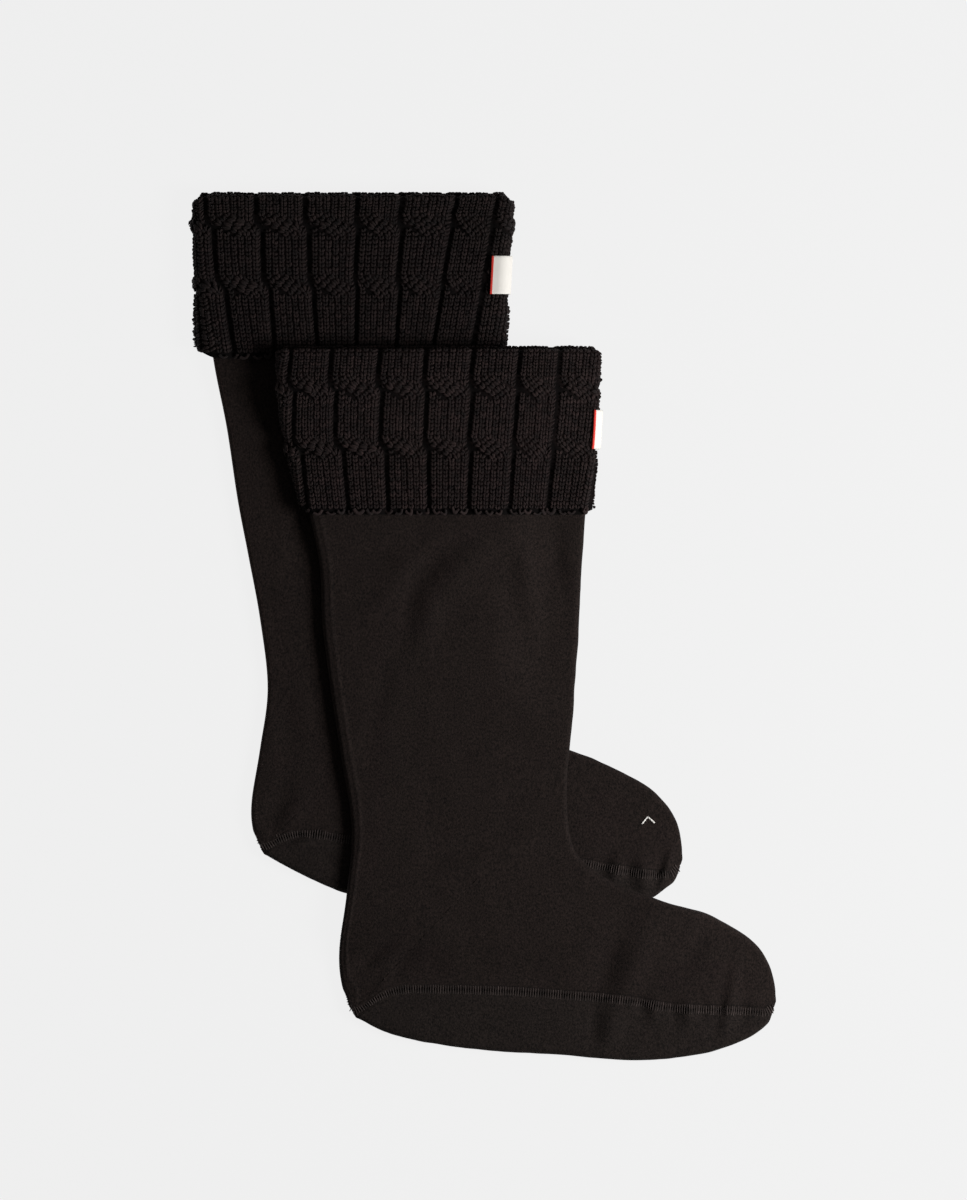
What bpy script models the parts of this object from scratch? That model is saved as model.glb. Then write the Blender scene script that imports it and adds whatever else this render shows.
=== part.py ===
"""Pair of tall fleece boot socks with turned-down cable-knit cuffs, laid flat.

Both socks lie on a surface with their toes to +X and their cuffs to +Y. The under sock lies flat, and
the top sock lies across it. All sizes below are millimetres, and the meshes are made in metres.

A sock lies like a flattened tube. Every point of its cloth is a ray: a centre on the flat middle plane
of the tube and a direction out of it. Cloth at a given radius is the ray's centre plus the radius times
the direction, so layers that lie on each other share their rays and stay parallel. The walls are lofts
between sections of changing shape, with faces made between neighbouring rays.
"""

import math
from collections import namedtuple

import bmesh
import bpy
from mathutils import Vector

COLLECTION = "Boot socks"
MM = 0.001

# Cloth
FLEECE = 2.5
KNIT = 2.6
KNIT_INNER = 2.5
SEAM_GAP = 0.3
CUFF_HALF = 3.0  # half the thickness of the flattened fleece inside the cuff
MOUTH_HALF = CUFF_HALF - KNIT_INNER
LEAST_HOLLOW = 0.35  # half the space left between two layers at the tip of the toe

# Cuff
CUFF_INSIDE = CUFF_HALF + SEAM_GAP
CUFF_OUTSIDE = CUFF_INSIDE + KNIT
CUFF_LIFT = CUFF_OUTSIDE - CUFF_HALF  # how far the cuff's underside lifts the fleece inside it
FOLD_RADIUS = (CUFF_OUTSIDE - MOUTH_HALF) / 2
CUFF_CORNER = 2.0  # rounding of the mouth and hem at the cuff's edges
CORNER_FADE = 14.0  # how far from the mouth or hem its rounded corners reach
FLARE_REACH = 60.0  # how far up from the hem the loose back edge of a cuff stands out
NEAR_LIP_DROP = 1.2  # the mouth's near lip lies lower than its far lip
CABLES_ACROSS = 7
CABLE_SPACING = 36.0  # from one crossing of the strands to the next
CROSSING_LENGTH = 11.0
CROSSINGS = 2  # down a cuff
BLOCK_DROP = 0.9  # the share by which a block between two crossings sinks away where its strands cross
STRAND_HEIGHT = 2.2
CROSSING_EXTRA = 0.5
STRAND_OFFSET = 0.22  # of a cable's width, from its middle to the middle of a strand
STRAND_REACH = 0.27
CABLES_PER_ROUND_STEP = 0.1  # of a cable's width, between two rays round the cuff's edge
UNDERSIDE_FADE = (-0.8, -0.2)  # the cables fade between these slopes of a ray, towards the underside

# Label
LABEL_TOP = 38.5  # below the cuff's mouth
LABEL_HEIGHT = 22.8
LABEL_LENGTH = 22.5
LABEL_THICK = 1.0
LABEL_PAD = 1.3  # the knit's relief pressed flat under the label
LABEL_MARGIN = 4.0
LABEL_FADE = 6.0
LABEL_LIFT = 3.3
LABEL_LIFT_REACH = 28.0

# How the top sock drapes over the under sock
REST_CLEARANCE = 0.5
DRAPE_MARGIN = 9.0
DRAPE_REACH = 4.8  # length of the fall for each millimetre of height
DRAPE_BLEND = 2.0

# Numbers of steps between points along the cloth
HIDDEN_ROWS_IN_CUFF = 8
FLEECE_ROWS_IN_CUFF = 6  # the fleece ends here, and the cuff's inner layer reaches down to it
CUFF_ROWS = 2 * HIDDEN_ROWS_IN_CUFF
CABLE_POINTS = 6
FINE_NEAR_STEPS = CABLES_ACROSS * CABLE_POINTS
ROUND_STEPS = 4
FINE_ROUND_STEPS = 2 * ROUND_STEPS
SOLE_FLAT_STEPS = 3
HIDDEN_SKIP = 2  # the fleece's hidden side has every second point across the leg
LABEL_ROWS = 4
LABEL_STEPS = 8

# Rows of the tables below
MOUTH_ROW = 0
HEM_ROW = 2
LEG_ROW = 3  # the cuff's lift has faded here
CORNER_ROW = 11  # the heel corner, where the back seam meets the sole
TOE_ROW = 19  # from here on the rows lie close together
SOLE_END_ROW = 23
LAST_ROW = 24
SEAM_STEP = 0.2  # of a row, to find the seam's direction
SOLE_TIP = 0.2  # the sole's two ends stop this share of a row short of a sharp point

SHARP_ANGLE = 50.0  # degrees, for the shading of edges

# Colours, linear
FLEECE_COLOUR = (0.0137, 0.0103, 0.0091)
SOLE_COLOUR = (0.0137, 0.0110, 0.0103)
KNIT_COLOUR = (0.0103, 0.0072, 0.0065)
LABEL_COLOUR = (0.80, 0.78, 0.74)
FLEECE_ROUGHNESS = 0.95
KNIT_ROUGHNESS = 0.9
LABEL_ROUGHNESS = 0.7

Section = namedtuple("Section", "seam_x seam_y fold_x fold_y sole_x sole_y half")
Crease = namedtuple("Crease", "x y angle length width height")
Ray = namedtuple("Ray", "x y out_x out_y up half lift")
Sock = namedtuple(
    "Sock",
    "name sections creases floor near_steps far_steps groove_shift first_crossing hem_flare label_inset",
)


def leg(back_x, back_y, front_x, front_y, half):
    """A row across the leg: the back seam lies on the outline."""
    return Section(back_x, back_y, front_x, front_y, back_x, back_y, half)


def foot(seam_x, seam_y, top_x, top_y, sole_x, sole_y, half):
    """A row across the foot: the sole seam lies inside the outline, above the sole's bottom edge."""
    return Section(seam_x, seam_y, top_x, top_y, sole_x, sole_y, half)


# Each row crosses the sock, from the mouth to the tip of the toe. half is half the flat thickness.
TOP_SECTIONS = (
    leg(-120.5, 167.5, 67, 167.5, 3.0),
    leg(-116, 117, 65.5, 117, 3.0),
    leg(-104, 66, 61, 66, 3.0),
    leg(-98, 34, 59, 36.5, 3.4),
    leg(-96.5, 0.5, 57.5, 6.5, 3.4),
    leg(-91.5, -38.5, 56, -20.5, 3.4),
    leg(-85.5, -77.5, 54.5, -40, 3.4),
    leg(-79, -121.5, 53.5, -54.5, 3.4),
    leg(-82, -160.5, 52.5, -65.5, 3.4),
    leg(-86.5, -194.5, 51.5, -76, 3.4),
    leg(-85, -215.5, 50.5, -85.5, 3.4),
    leg(-79, -231.5, 50, -95, 3.4),
    foot(-64.5, -223, 50, -108.5, -70.5, -238, 3.4),
    foot(-49, -218, 51.5, -124, -55, -245, 3.4),
    foot(-22, -218, 56.5, -137.5, -26, -251.5, 3.4),
    foot(13, -219, 70, -149.5, 10, -255.5, 3.4),
    foot(49, -221.5, 88, -158, 46, -257.5, 3.4),
    foot(83, -224.5, 110, -166, 82, -260.5, 3.4),
    foot(110.5, -229, 133, -172.5, 113, -259.5, 3.4),
    foot(133.5, -230.5, 152, -182.5, 139, -255, 3.4),
    foot(149.5, -231, 164, -192, 156.5, -248.5, 3.3),
    foot(161, -232, 170.5, -201.5, 167, -242, 3.1),
    foot(168.5, -232.5, 173.5, -210.5, 171.5, -236.5, 2.7),
    leg(174.5, -228.5, 175, -218, 2.1),
    leg(175, -225.5, 175, -221.5, 1.5),
)
UNDER_SECTIONS = (
    leg(-170.5, 260, 14, 260, 3.0),
    leg(-168.5, 209.5, 11.5, 209.5, 3.0),
    leg(-162, 159.5, 8.5, 159.5, 3.0),
    leg(-154, 118.5, 5.5, 123.5, 3.4),
    leg(-147.5, 75.5, 4, 96.5, 3.4),
    leg(-141, 41.5, 2, 72.5, 3.4),
    leg(-134, 3.5, 0.5, 51.5, 3.4),
    leg(-129.5, -37.5, -1, 34.5, 3.4),
    leg(-134, -73.5, -2, 21.5, 3.4),
    leg(-139, -104.5, -3, 9.5, 3.4),
    leg(-138.5, -121.5, -3.5, -1.5, 3.4),
    leg(-134, -133.5, -4, -12.5, 3.4),
    foot(-122.5, -127.5, -4, -26.5, -126.5, -140, 3.4),
    foot(-107, -124.5, -0.5, -40, -110.5, -148.5, 3.4),
    foot(-79, -128.5, 8.5, -52, -83, -160.5, 3.4),
    foot(-43.5, -132, 20, -62, -47, -167, 3.4),
    foot(-7.5, -135.5, 35.5, -69.5, -11, -171.5, 3.4),
    foot(26, -139, 56, -76, 25, -173.5, 3.4),
    foot(53.5, -142, 77, -85, 56, -174.5, 3.4),
    foot(77, -146, 97, -95.5, 82, -170.5, 3.4),
    foot(94, -149, 108.5, -106, 100, -164, 3.3),
    foot(105.5, -150, 114.5, -115, 110.5, -156.5, 3.1),
    foot(112.5, -149, 117.5, -123, 115.5, -151, 2.7),
    leg(118.5, -143, 119, -133, 2.1),
    leg(119, -140.5, 119, -136.5, 1.5),
)

# The largest soft folds of the upper side: middle, direction in degrees, length, width and height
TOP_CREASES = (
    Crease(-20, 40, 120, 70, 30, 1.0),
    Crease(33, 40, 95, 60, 26, 1.2),
    Crease(-45, -195, 25, 60, 26, 1.0),
    Crease(85, -205, 60, 60, 28, 1.1),
    Crease(140, -218, 75, 40, 24, 0.9),
)
UNDER_CREASES = (
    Crease(-135, 95, 80, 60, 22, 0.5),
    Crease(-120, -110, 20, 40, 24, 0.5),
)

# near_steps and far_steps: how finely the cloth is divided across. groove_shift: by how many points the
# cables' grooves lie in from the cuff's back edge. first_crossing: how far it lies below the mouth.
# hem_flare: how far the hem stands out at its back edge. label_inset: how far the label reaches in from the
# cuff's front edge.
UNDER_DETAIL = {
    "near_steps": 7,
    "far_steps": 6,
    "groove_shift": 3,
    "first_crossing": 20.0,
    "hem_flare": 4.5,
    "label_inset": 12.6,
}
TOP_DETAIL = {
    "near_steps": 14,
    "far_steps": 14,
    "groove_shift": 1,
    "first_crossing": 25.0,
    "hem_flare": 0.0,
    "label_inset": 5.1,
}


def smoothstep(start, end, value):
    """0 before start and 1 after end, with a soft change between."""
    share = min(max((value - start) / (end - start), 0.0), 1.0)
    return share * share * (3 - 2 * share)


def spline(before, start, end, after, share):
    """A point between start and end on the smooth curve through four evenly numbered values."""
    square, cube = share * share, share * share * share
    return 0.5 * (
        2 * start
        + (end - before) * share
        + (2 * before - 5 * start + 4 * end - after) * square
        + (3 * start - before - 3 * end + after) * cube
    )


def section_at(sections, row):
    """The section at any row number, on a smooth curve through the rows of the table."""
    start = min(int(row), len(sections) - 2)
    values = []
    for column in zip(*sections):
        begin, end = column[start], column[start + 1]
        before = column[start - 1] if start > 0 else 2 * begin - end
        after = column[start + 2] if start + 2 < len(column) else 2 * end - begin
        values.append(spline(before, begin, end, after, row - start))
    return Section(*values)


def unit(x, y):
    size = math.hypot(x, y)
    return x / size, y / size


def outline_distance(x, y, outline):
    """How far a point lies outside a closed outline, and 0 on it or inside."""
    inside = False
    nearest = math.inf
    for (ax, ay), (bx, by) in zip(outline, outline[1:] + outline[:1]):
        dx, dy = bx - ax, by - ay
        share = min(max(((x - ax) * dx + (y - ay) * dy) / (dx * dx + dy * dy), 0.0), 1.0)
        nearest = min(nearest, math.hypot(x - ax - share * dx, y - ay - share * dy))
        if (ay > y) != (by > y) and x < ax + (y - ay) / dy * dx:
            inside = not inside
    return 0.0 if inside else nearest


def fall(height, distance):
    """The height of cloth that lies on something this high, at a distance beyond its edge."""
    return height * (1 - smoothstep(DRAPE_MARGIN, DRAPE_MARGIN + DRAPE_REACH * height, distance))


def soft_max(a, b):
    """The larger of two heights, with a soft change from one to the other, and none on the bare floor."""
    overlap = max(DRAPE_BLEND - abs(a - b), 0.0) / DRAPE_BLEND
    return max(a, b) + overlap * overlap * DRAPE_BLEND / 4 * min(a, b, 1.0)


def flat_floor(_x, _y):
    """The under sock lies on the surface."""
    return 0.0


def floor_over(sock, lifted):
    """The floor of a sock that lies across another: the height of what is under it.

    The cuff is also lifted where its own label is folded under it.
    """
    rows = range(LAST_ROW + 1)
    body = [section_at(sock.sections, row) for row in rows]
    body_outline = [(s.sole_x, s.sole_y) for s in body] + [(s.fold_x, s.fold_y) for s in reversed(body)]
    reach = CUFF_OUTSIDE - CUFF_HALF + STRAND_HEIGHT
    cuff = body[MOUTH_ROW : HEM_ROW + 1]
    cuff_outline = [(s.seam_x - reach, s.seam_y) for s in cuff]
    cuff_outline += [(s.fold_x + reach, s.fold_y) for s in reversed(cuff)]
    body_height = 2 * body[LEG_ROW].half + REST_CLEARANCE
    cuff_height = 2 * CUFF_OUTSIDE + STRAND_HEIGHT + CROSSING_EXTRA + REST_CLEARANCE
    label_x = lifted[MOUTH_ROW + 1].fold_x
    label_y = lifted[MOUTH_ROW].fold_y - LABEL_TOP - LABEL_HEIGHT / 2

    def height(x, y):
        over_body = fall(body_height, outline_distance(x, y, body_outline))
        over_cuff = fall(cuff_height, outline_distance(x, y, cuff_outline))
        from_label = math.hypot(x - label_x, y - label_y) / LABEL_LIFT_REACH
        return soft_max(over_body, over_cuff) + LABEL_LIFT * math.exp(-from_label * from_label)

    return height


def lift_at(row):
    """How far the fleece is lifted by the cuff's underside, fading below the hem."""
    return CUFF_LIFT * (1 - smoothstep(HEM_ROW, LEG_ROW, row))


def crease_height(sock, x, y):
    """The height of the soft folds at a point."""
    height = 0.0
    for crease in sock.creases:
        turn = math.radians(crease.angle)
        along = (x - crease.x) * math.cos(turn) + (y - crease.y) * math.sin(turn)
        across = (y - crease.y) * math.cos(turn) - (x - crease.x) * math.sin(turn)
        distance = math.hypot(2 * along / crease.length, 2 * across / crease.width)
        height += crease.height * math.exp(-distance * distance)
    return height


def place(sock, ray, radius, rise=0.0):
    """The point of the cloth at a radius on a ray, moved up the leg by a rise."""
    x = ray.x + radius * ray.out_x
    y = ray.y + radius * ray.out_y + rise
    height = ray.half + ray.lift + radius * ray.up + sock.floor(ray.x, ray.y)
    if ray.up > 0 and ray.lift < CUFF_LIFT:
        height += crease_height(sock, ray.x, ray.y) * ray.up * (1 - ray.lift / CUFF_LIFT)
    return Vector((x, y, height))


def shifted(point, direction, distance):
    return point[0] + direction[0] * distance, point[1] + direction[1] * distance


def steps_between(start, end, steps):
    return [start + (end - start) * k / steps for k in range(steps + 1)]


def fan(centre, outward, angles, half, lift):
    """Rays round a folded edge. At 0 degrees a ray points straight out, and at 90 it points up."""
    rays = []
    for angle in angles:
        level, up = math.cos(math.radians(angle)), math.sin(math.radians(angle))
        rays.append(Ray(*centre, outward[0] * level, outward[1] * level, up, half, lift))
    return rays


def strip(start, end, steps, up, half, lift):
    """Rays along a flat layer between two points, with both ends left out."""
    xs, ys = steps_between(start[0], end[0], steps), steps_between(start[1], end[1], steps)
    return [Ray(x, y, 0.0, 0.0, up, half, lift) for x, y in zip(xs[1:-1], ys[1:-1])]


def on_outline(section):
    """Whether the seam lies on the outline, so that the panel's edge is rolled and the sole has run out."""
    return math.hypot(section.seam_x - section.sole_x, section.seam_y - section.sole_y) < section.half


def seam_edge(sock, row, side):
    """The edge of the cloth beside the sole seam: on the fold's side with side 1, on the sole's with -1."""
    section = section_at(sock.sections, row)
    before, after = section_at(sock.sections, row - SEAM_STEP), section_at(sock.sections, row + SEAM_STEP)
    along = unit(after.seam_x - before.seam_x, after.seam_y - before.seam_y)
    return shifted((section.seam_x, section.seam_y), (-along[1], along[0]), side * SEAM_GAP / 2)


def leg_row(sock, row):
    """The rays of the leg panel across one row: near edge, front fold, far edge."""
    section = section_at(sock.sections, row)
    half, lift = section.half, lift_at(row)
    seam, fold = (section.seam_x, section.seam_y), (section.fold_x, section.fold_y)
    forward = unit(fold[0] - seam[0], fold[1] - seam[1])
    quarter = half * math.pi / 2
    if on_outline(section):
        edge_angle = math.degrees(SEAM_GAP / 2 / half)
        back_centre = shifted(seam, forward, half)
        back = (-forward[0], -forward[1])
        edges = fan(back_centre, back, (edge_angle, 45, -45, -edge_angle), half, lift)
    else:
        first = seam_edge(sock, row, 1)
        second, back_centre = shifted(first, forward, quarter / 2), shifted(first, forward, quarter)
        edges = [Ray(*point, 0.0, 0.0, 1.0, half, lift) for point in (first, second)]
        edges += [Ray(*point, 0.0, 0.0, -1.0, half, lift) for point in (second, first)]
    front_centre = shifted(fold, forward, -half)
    rays = edges[:2] + fan(back_centre, forward, (90,), half, lift)
    rays += strip(back_centre, front_centre, sock.near_steps, 1.0, half, lift)
    rays += fan(front_centre, forward, steps_between(90, -90, ROUND_STEPS), half, lift)
    rays += strip(front_centre, back_centre, sock.far_steps, -1.0, half, lift)
    return rays + fan(back_centre, forward, (-90,), half, lift) + edges[2:]


def sole_row(sock, row):
    """The rays of the sole across one row: near seam, bottom edge, far seam. They meet at its two tips."""
    section = section_at(sock.sections, row)
    half, lift = section.half, lift_at(row)
    seam, rim = (section.seam_x, section.seam_y), (section.sole_x, section.sole_y)
    if on_outline(section):
        forward = unit(section.fold_x - seam[0], section.fold_y - seam[1])
        back = (-forward[0], -forward[1])
        tip = fan(shifted(rim, forward, half), back, (0,), half, lift)
        return tip * (2 * SOLE_FLAT_STEPS + ROUND_STEPS + 1)
    inward = unit(seam[0] - rim[0], seam[1] - rim[1])
    outward = (-inward[0], -inward[1])
    centre, edge = shifted(rim, inward, half), seam_edge(sock, row, -1)
    rays = fan(edge, outward, (90,), half, lift)
    rays += strip(edge, centre, SOLE_FLAT_STEPS, 1.0, half, lift)
    rays += fan(centre, outward, steps_between(90, -90, ROUND_STEPS), half, lift)
    rays += strip(centre, edge, SOLE_FLAT_STEPS, -1.0, half, lift)
    return rays + fan(edge, outward, (-90,), half, lift)


def cuff_ring(sock, row, near_steps, far_steps, round_steps):
    """The closed ring of rays round the cuff at one row, from the back of its near side."""
    section = section_at(sock.sections, row)
    seam, fold = (section.seam_x, section.seam_y), (section.fold_x, section.fold_y)
    forward = unit(fold[0] - seam[0], fold[1] - seam[1])
    back = (-forward[0], -forward[1])
    start, end = shifted(seam, forward, CUFF_HALF), shifted(fold, forward, -CUFF_HALF)
    rays = fan(start, back, (90,), CUFF_HALF, CUFF_LIFT)
    rays += strip(start, end, near_steps, 1.0, CUFF_HALF, CUFF_LIFT)
    rays += fan(end, forward, steps_between(90, -90, round_steps), CUFF_HALF, CUFF_LIFT)
    rays += strip(end, start, far_steps, -1.0, CUFF_HALF, CUFF_LIFT)
    return rays + fan(start, back, steps_between(-90, 90, round_steps)[:-1], CUFF_HALF, CUFF_LIFT)


def fold_row(sock):
    """The row number where the cuff starts to fold over at its mouth."""
    first, second = sock.sections[MOUTH_ROW], sock.sections[MOUTH_ROW + 1]
    return FOLD_RADIUS / (first.fold_y - second.fold_y)


def hidden_rows(sock):
    """Row numbers that the cuff shares with the fleece inside it, from the hem up."""
    return steps_between(HEM_ROW, fold_row(sock), HIDDEN_ROWS_IN_CUFF)


def cuff_lean(sock, ray):
    """How far the cuff's edge on a ray's side leans to +X for each millimetre up the leg."""
    middle, hem = sock.sections[MOUTH_ROW + 1], sock.sections[HEM_ROW]
    if ray.out_x < 0:
        return (middle.seam_x - hem.seam_x) / (middle.seam_y - hem.seam_y)
    return (middle.fold_x - hem.fold_x) / (middle.fold_y - hem.fold_y) if ray.out_x > 0 else 0.0


def cuff_point(sock, ray, radius, rise):
    """A point of the cuff. Its mouth and hem are rounded at the edges, and the near lip lies lower."""
    mouth_y, hem_y = sock.sections[MOUTH_ROW].fold_y, sock.sections[HEM_ROW].fold_y
    level = ray.out_x * ray.out_x + ray.out_y * ray.out_y
    at_mouth = smoothstep(mouth_y - CORNER_FADE, mouth_y - FOLD_RADIUS, ray.y)
    at_hem = 1 - smoothstep(hem_y, hem_y + CORNER_FADE, ray.y)
    rise += CUFF_CORNER * level * (at_hem - at_mouth) - NEAR_LIP_DROP * at_mouth * max(ray.up, 0.0)
    point = place(sock, ray, radius, rise)
    point.x += rise * cuff_lean(sock, ray)
    if ray.out_x < 0 and radius > CUFF_HALF:
        point.x -= sock.hem_flare * level * (1 - smoothstep(hem_y, hem_y + FLARE_REACH, ray.y))
    return point


def cable_relief(sock, across, below_mouth):
    """How far the knit stands out: rounded blocks between grooves, and strands that swap sides where they cross."""
    step = round((below_mouth - sock.first_crossing) / CABLE_SPACING)
    crossing_place = sock.first_crossing + min(max(step, 0), CROSSINGS - 1) * CABLE_SPACING
    past_crossing = below_mouth - crossing_place
    crossing = math.exp(-((2 * past_crossing / CROSSING_LENGTH) ** 2))
    swap = 2 * smoothstep(-CROSSING_LENGTH / 2, CROSSING_LENGTH / 2, past_crossing) - 1
    in_cable = across - math.floor(across) - 0.5
    relief = STRAND_HEIGHT * math.sqrt(1 - abs(2 * in_cable) ** 3) * (1 - BLOCK_DROP * crossing)
    for side in (1, -1):
        offset = (in_cable - side * STRAND_OFFSET * swap) / STRAND_REACH
        height = STRAND_HEIGHT + side * CROSSING_EXTRA * crossing
        relief = max(relief, height * math.sqrt(max(1 - offset * offset, 0.0)))
    return relief


def cable_places(sock, ring_size):
    """For each ray of the fine ring, how many cables it lies from the first groove."""
    first = -sock.groove_shift / CABLE_POINTS
    last = first + CABLES_ACROSS
    places = []
    for number in range(ring_size):
        if number <= FINE_NEAR_STEPS:
            places.append(first + number / CABLE_POINTS)
        elif number < (ring_size + FINE_NEAR_STEPS) / 2:  # as far as the middle of the underside
            places.append(last + (number - FINE_NEAR_STEPS) * CABLES_PER_ROUND_STEP)
        else:
            places.append(first - (ring_size - number) * CABLES_PER_ROUND_STEP)
    return places


def under_label(sock, ray, below_mouth):
    """1 under the label and 0 away from it."""
    above, below = LABEL_TOP - below_mouth, below_mouth - LABEL_TOP - LABEL_HEIGHT
    behind = sock.sections[MOUTH_ROW + 1].fold_x - LABEL_LENGTH - ray.x
    return 1 - smoothstep(LABEL_MARGIN, LABEL_MARGIN + LABEL_FADE, max(above, below, behind))


def cuff_outside(sock):
    """The visible surface of the cuff: from the hem up, over the fold at the mouth and down inside."""
    mouth_y = sock.sections[MOUTH_ROW].fold_y
    profile = [(row, 0) for row in steps_between(HEM_ROW, fold_row(sock), CUFF_ROWS)]
    profile += [(fold_row(sock), angle) for angle in (45, 90, 135, 180)]
    profile += [(row, 180) for row in inner_rows(sock)]
    middle = (CUFF_OUTSIDE + MOUTH_HALF) / 2
    surface = []
    for row, angle in profile:
        ring = cuff_ring(sock, row, FINE_NEAR_STEPS, sock.far_steps, FINE_ROUND_STEPS)
        turn = math.radians(angle)
        points = []
        for ray, across in zip(ring, cable_places(sock, len(ring))):
            below_mouth = mouth_y - ray.y
            pressed = under_label(sock, ray, below_mouth)
            relief = cable_relief(sock, across, below_mouth)
            relief += (min(relief, LABEL_PAD) - relief) * pressed
            relief *= smoothstep(*UNDERSIDE_FADE, ray.up) * max(math.cos(turn), 0.0)
            radius = middle + FOLD_RADIUS * math.cos(turn) + relief
            points.append(cuff_point(sock, ray, radius, FOLD_RADIUS * math.sin(turn)))
        surface.append(points)
    return surface


def inner_rows(sock):
    """Rows of the cuff's inner layer below the fold. The last lies a seam's gap above the fleece."""
    rows = hidden_rows(sock)
    gap = SEAM_GAP / FOLD_RADIUS * fold_row(sock)
    return rows[FLEECE_ROWS_IN_CUFF + 1 : -1] + [rows[FLEECE_ROWS_IN_CUFF] - gap]


def cuff_inside(sock):
    """The plain hidden surface of the cuff, which lies on the fleece and on its own inner layer."""
    profile = [(row, CUFF_INSIDE, 0.0) for row in hidden_rows(sock)]
    profile += [(fold_row(sock), CUFF_HALF + SEAM_GAP / 2, SEAM_GAP / 2)]
    profile += [(row, CUFF_HALF, 0.0) for row in [fold_row(sock)] + inner_rows(sock)]
    surface = []
    for row, radius, rise in profile:
        ring = cuff_ring(sock, row, sock.near_steps, sock.far_steps, ROUND_STEPS)
        surface.append([cuff_point(sock, ray, radius, rise) for ray in ring])
    return surface


def kept_columns(sock):
    """The places in the fine ring of the cuff's visible side where the hidden side has points too."""
    near_share = FINE_NEAR_STEPS // sock.near_steps
    round_share = FINE_ROUND_STEPS // ROUND_STEPS
    kept = [near_share * k for k in range(sock.near_steps)]
    kept += [FINE_NEAR_STEPS + round_share * k for k in range(ROUND_STEPS)]
    far_start = FINE_NEAR_STEPS + FINE_ROUND_STEPS
    kept += [far_start + k for k in range(sock.far_steps)]
    return kept + [far_start + sock.far_steps + round_share * k for k in range(ROUND_STEPS)]


def add_grid(bm, points, closed):
    """A sheet through rows of points, as rows of vertices. A closed sheet joins its two sides.

    Each cell is split along the diagonal that climbs with x and y, so that layers stay parallel.
    """
    rows = [[bm.verts.new(point * MM) for point in row] for row in points]
    if closed:
        rows = [row + row[:1] for row in rows]
    for row, following in zip(rows, rows[1:]):
        for k in range(len(row) - 1):
            a, b, c, d = row[k], row[k + 1], following[k + 1], following[k]
            diagonal = c.co - a.co
            if diagonal.x * diagonal.y < 0:
                a, b, c, d = b, c, d, a
            bm.faces.new((a, b, c))
            bm.faces.new((a, c, d))
    return rows


def add_rim(bm, fine, coarse, kept):
    """The edge face of a wall, between its finer side and its coarser side."""
    for k in range(len(coarse) - 1):
        start, end = kept[k], kept[k + 1]
        middle = (start + end) // 2
        for step in range(start, end):
            corner = coarse[k] if step < middle else coarse[k + 1]
            bm.faces.new((fine[step], fine[step + 1], corner))
        bm.faces.new((fine[middle], coarse[k + 1], coarse[k]))


def finish_wall(name, bm, material, collection):
    """Turn the closed wall's faces outwards and make it an object of its own."""
    bmesh.ops.recalc_face_normals(bm, faces=bm.faces[:])
    mesh = bpy.data.meshes.new(name)
    bm.to_mesh(mesh)
    bm.free()
    mesh.materials.append(material)
    mesh.shade_smooth()
    mesh.set_sharp_from_angle(angle=math.radians(SHARP_ANGLE))
    wall = bpy.data.objects.new(name, mesh)
    collection.objects.link(wall)
    return wall


def open_wall(name, outer, inner, kept_rows, kept_columns, material, collection):
    """A wall between two open sheets. The inner sheet has the outer one's kept rows and columns."""
    bm = bmesh.new()
    fine = add_grid(bm, outer, closed=False)
    coarse = add_grid(bm, inner, closed=False)
    for end in (0, -1):
        add_rim(bm, fine[end], coarse[end], kept_columns)
        add_rim(bm, [row[end] for row in fine], [row[end] for row in coarse], kept_rows)
    return finish_wall(name, bm, material, collection)


def fleece_wall(name, rays, sock, kept_rows, skip, material, collection):
    """A fleece wall on rows of rays. Its hidden side has fewer rows, and one ray in skip."""
    outer = [[place(sock, ray, ray.half) for ray in row] for row in rays]
    kept_rays = sorted({*range(0, len(rays[0]), skip), len(rays[0]) - 1})
    inner = []
    for row in (rays[k] for k in kept_rows):
        kept = (row[k] for k in kept_rays)
        inner.append([place(sock, ray, max(ray.half - FLEECE, LEAST_HOLLOW)) for ray in kept])
    return open_wall(name, outer, inner, kept_rows, kept_rays, material, collection)


def hidden_side_rows(rows):
    """The places in a list of row numbers where the fleece's hidden side has points too.

    It has fewer inside the cuff, where its lift fades and along the foot.
    """
    whole = [k for k, row in enumerate(rows) if row > HEM_ROW - 1 and row == int(row)]
    in_leg = [k for k, row in enumerate(rows) if LEG_ROW < row < CORNER_ROW]
    return sorted({*range(0, whole[0], HIDDEN_SKIP), *whole, *in_leg})


def body_rows():
    """Row numbers of the leg panel below the hem."""
    below_hem = steps_between(HEM_ROW, LEG_ROW, 4)[1:]
    body = steps_between(LEG_ROW, TOE_ROW, 2 * (TOE_ROW - LEG_ROW))[1:]
    return below_hem + body + list(range(TOE_ROW + 1, LAST_ROW + 1))


def make_leg(sock, material, collection):
    """The fleece panel of the leg and foot, folded round the front, with its edges at the back and sole."""
    rows = hidden_rows(sock)[FLEECE_ROWS_IN_CUFF::-1] + body_rows()
    rays = [leg_row(sock, row) for row in rows]
    kept = hidden_side_rows(rows)
    return fleece_wall(f"{sock.name}_leg", rays, sock, kept, HIDDEN_SKIP, material, collection)


def between(row, other, share):
    """Rays part of the way from one row to another."""
    return [Ray(*(a + (b - a) * share for a, b in zip(*pair))) for pair in zip(row, other)]


def make_sole(sock, material, collection):
    """The fleece sole, folded round the bottom edge of the foot."""
    rows = [row for row in body_rows() if CORNER_ROW <= row <= SOLE_END_ROW]
    rays = [sole_row(sock, row) for row in rows]
    rays[0] = between(rays[0], rays[1], SOLE_TIP)
    rays[-1] = between(rays[-1], rays[-2], SOLE_TIP)
    return fleece_wall(f"{sock.name}_sole", rays, sock, hidden_side_rows(rows), 1, material, collection)


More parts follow.
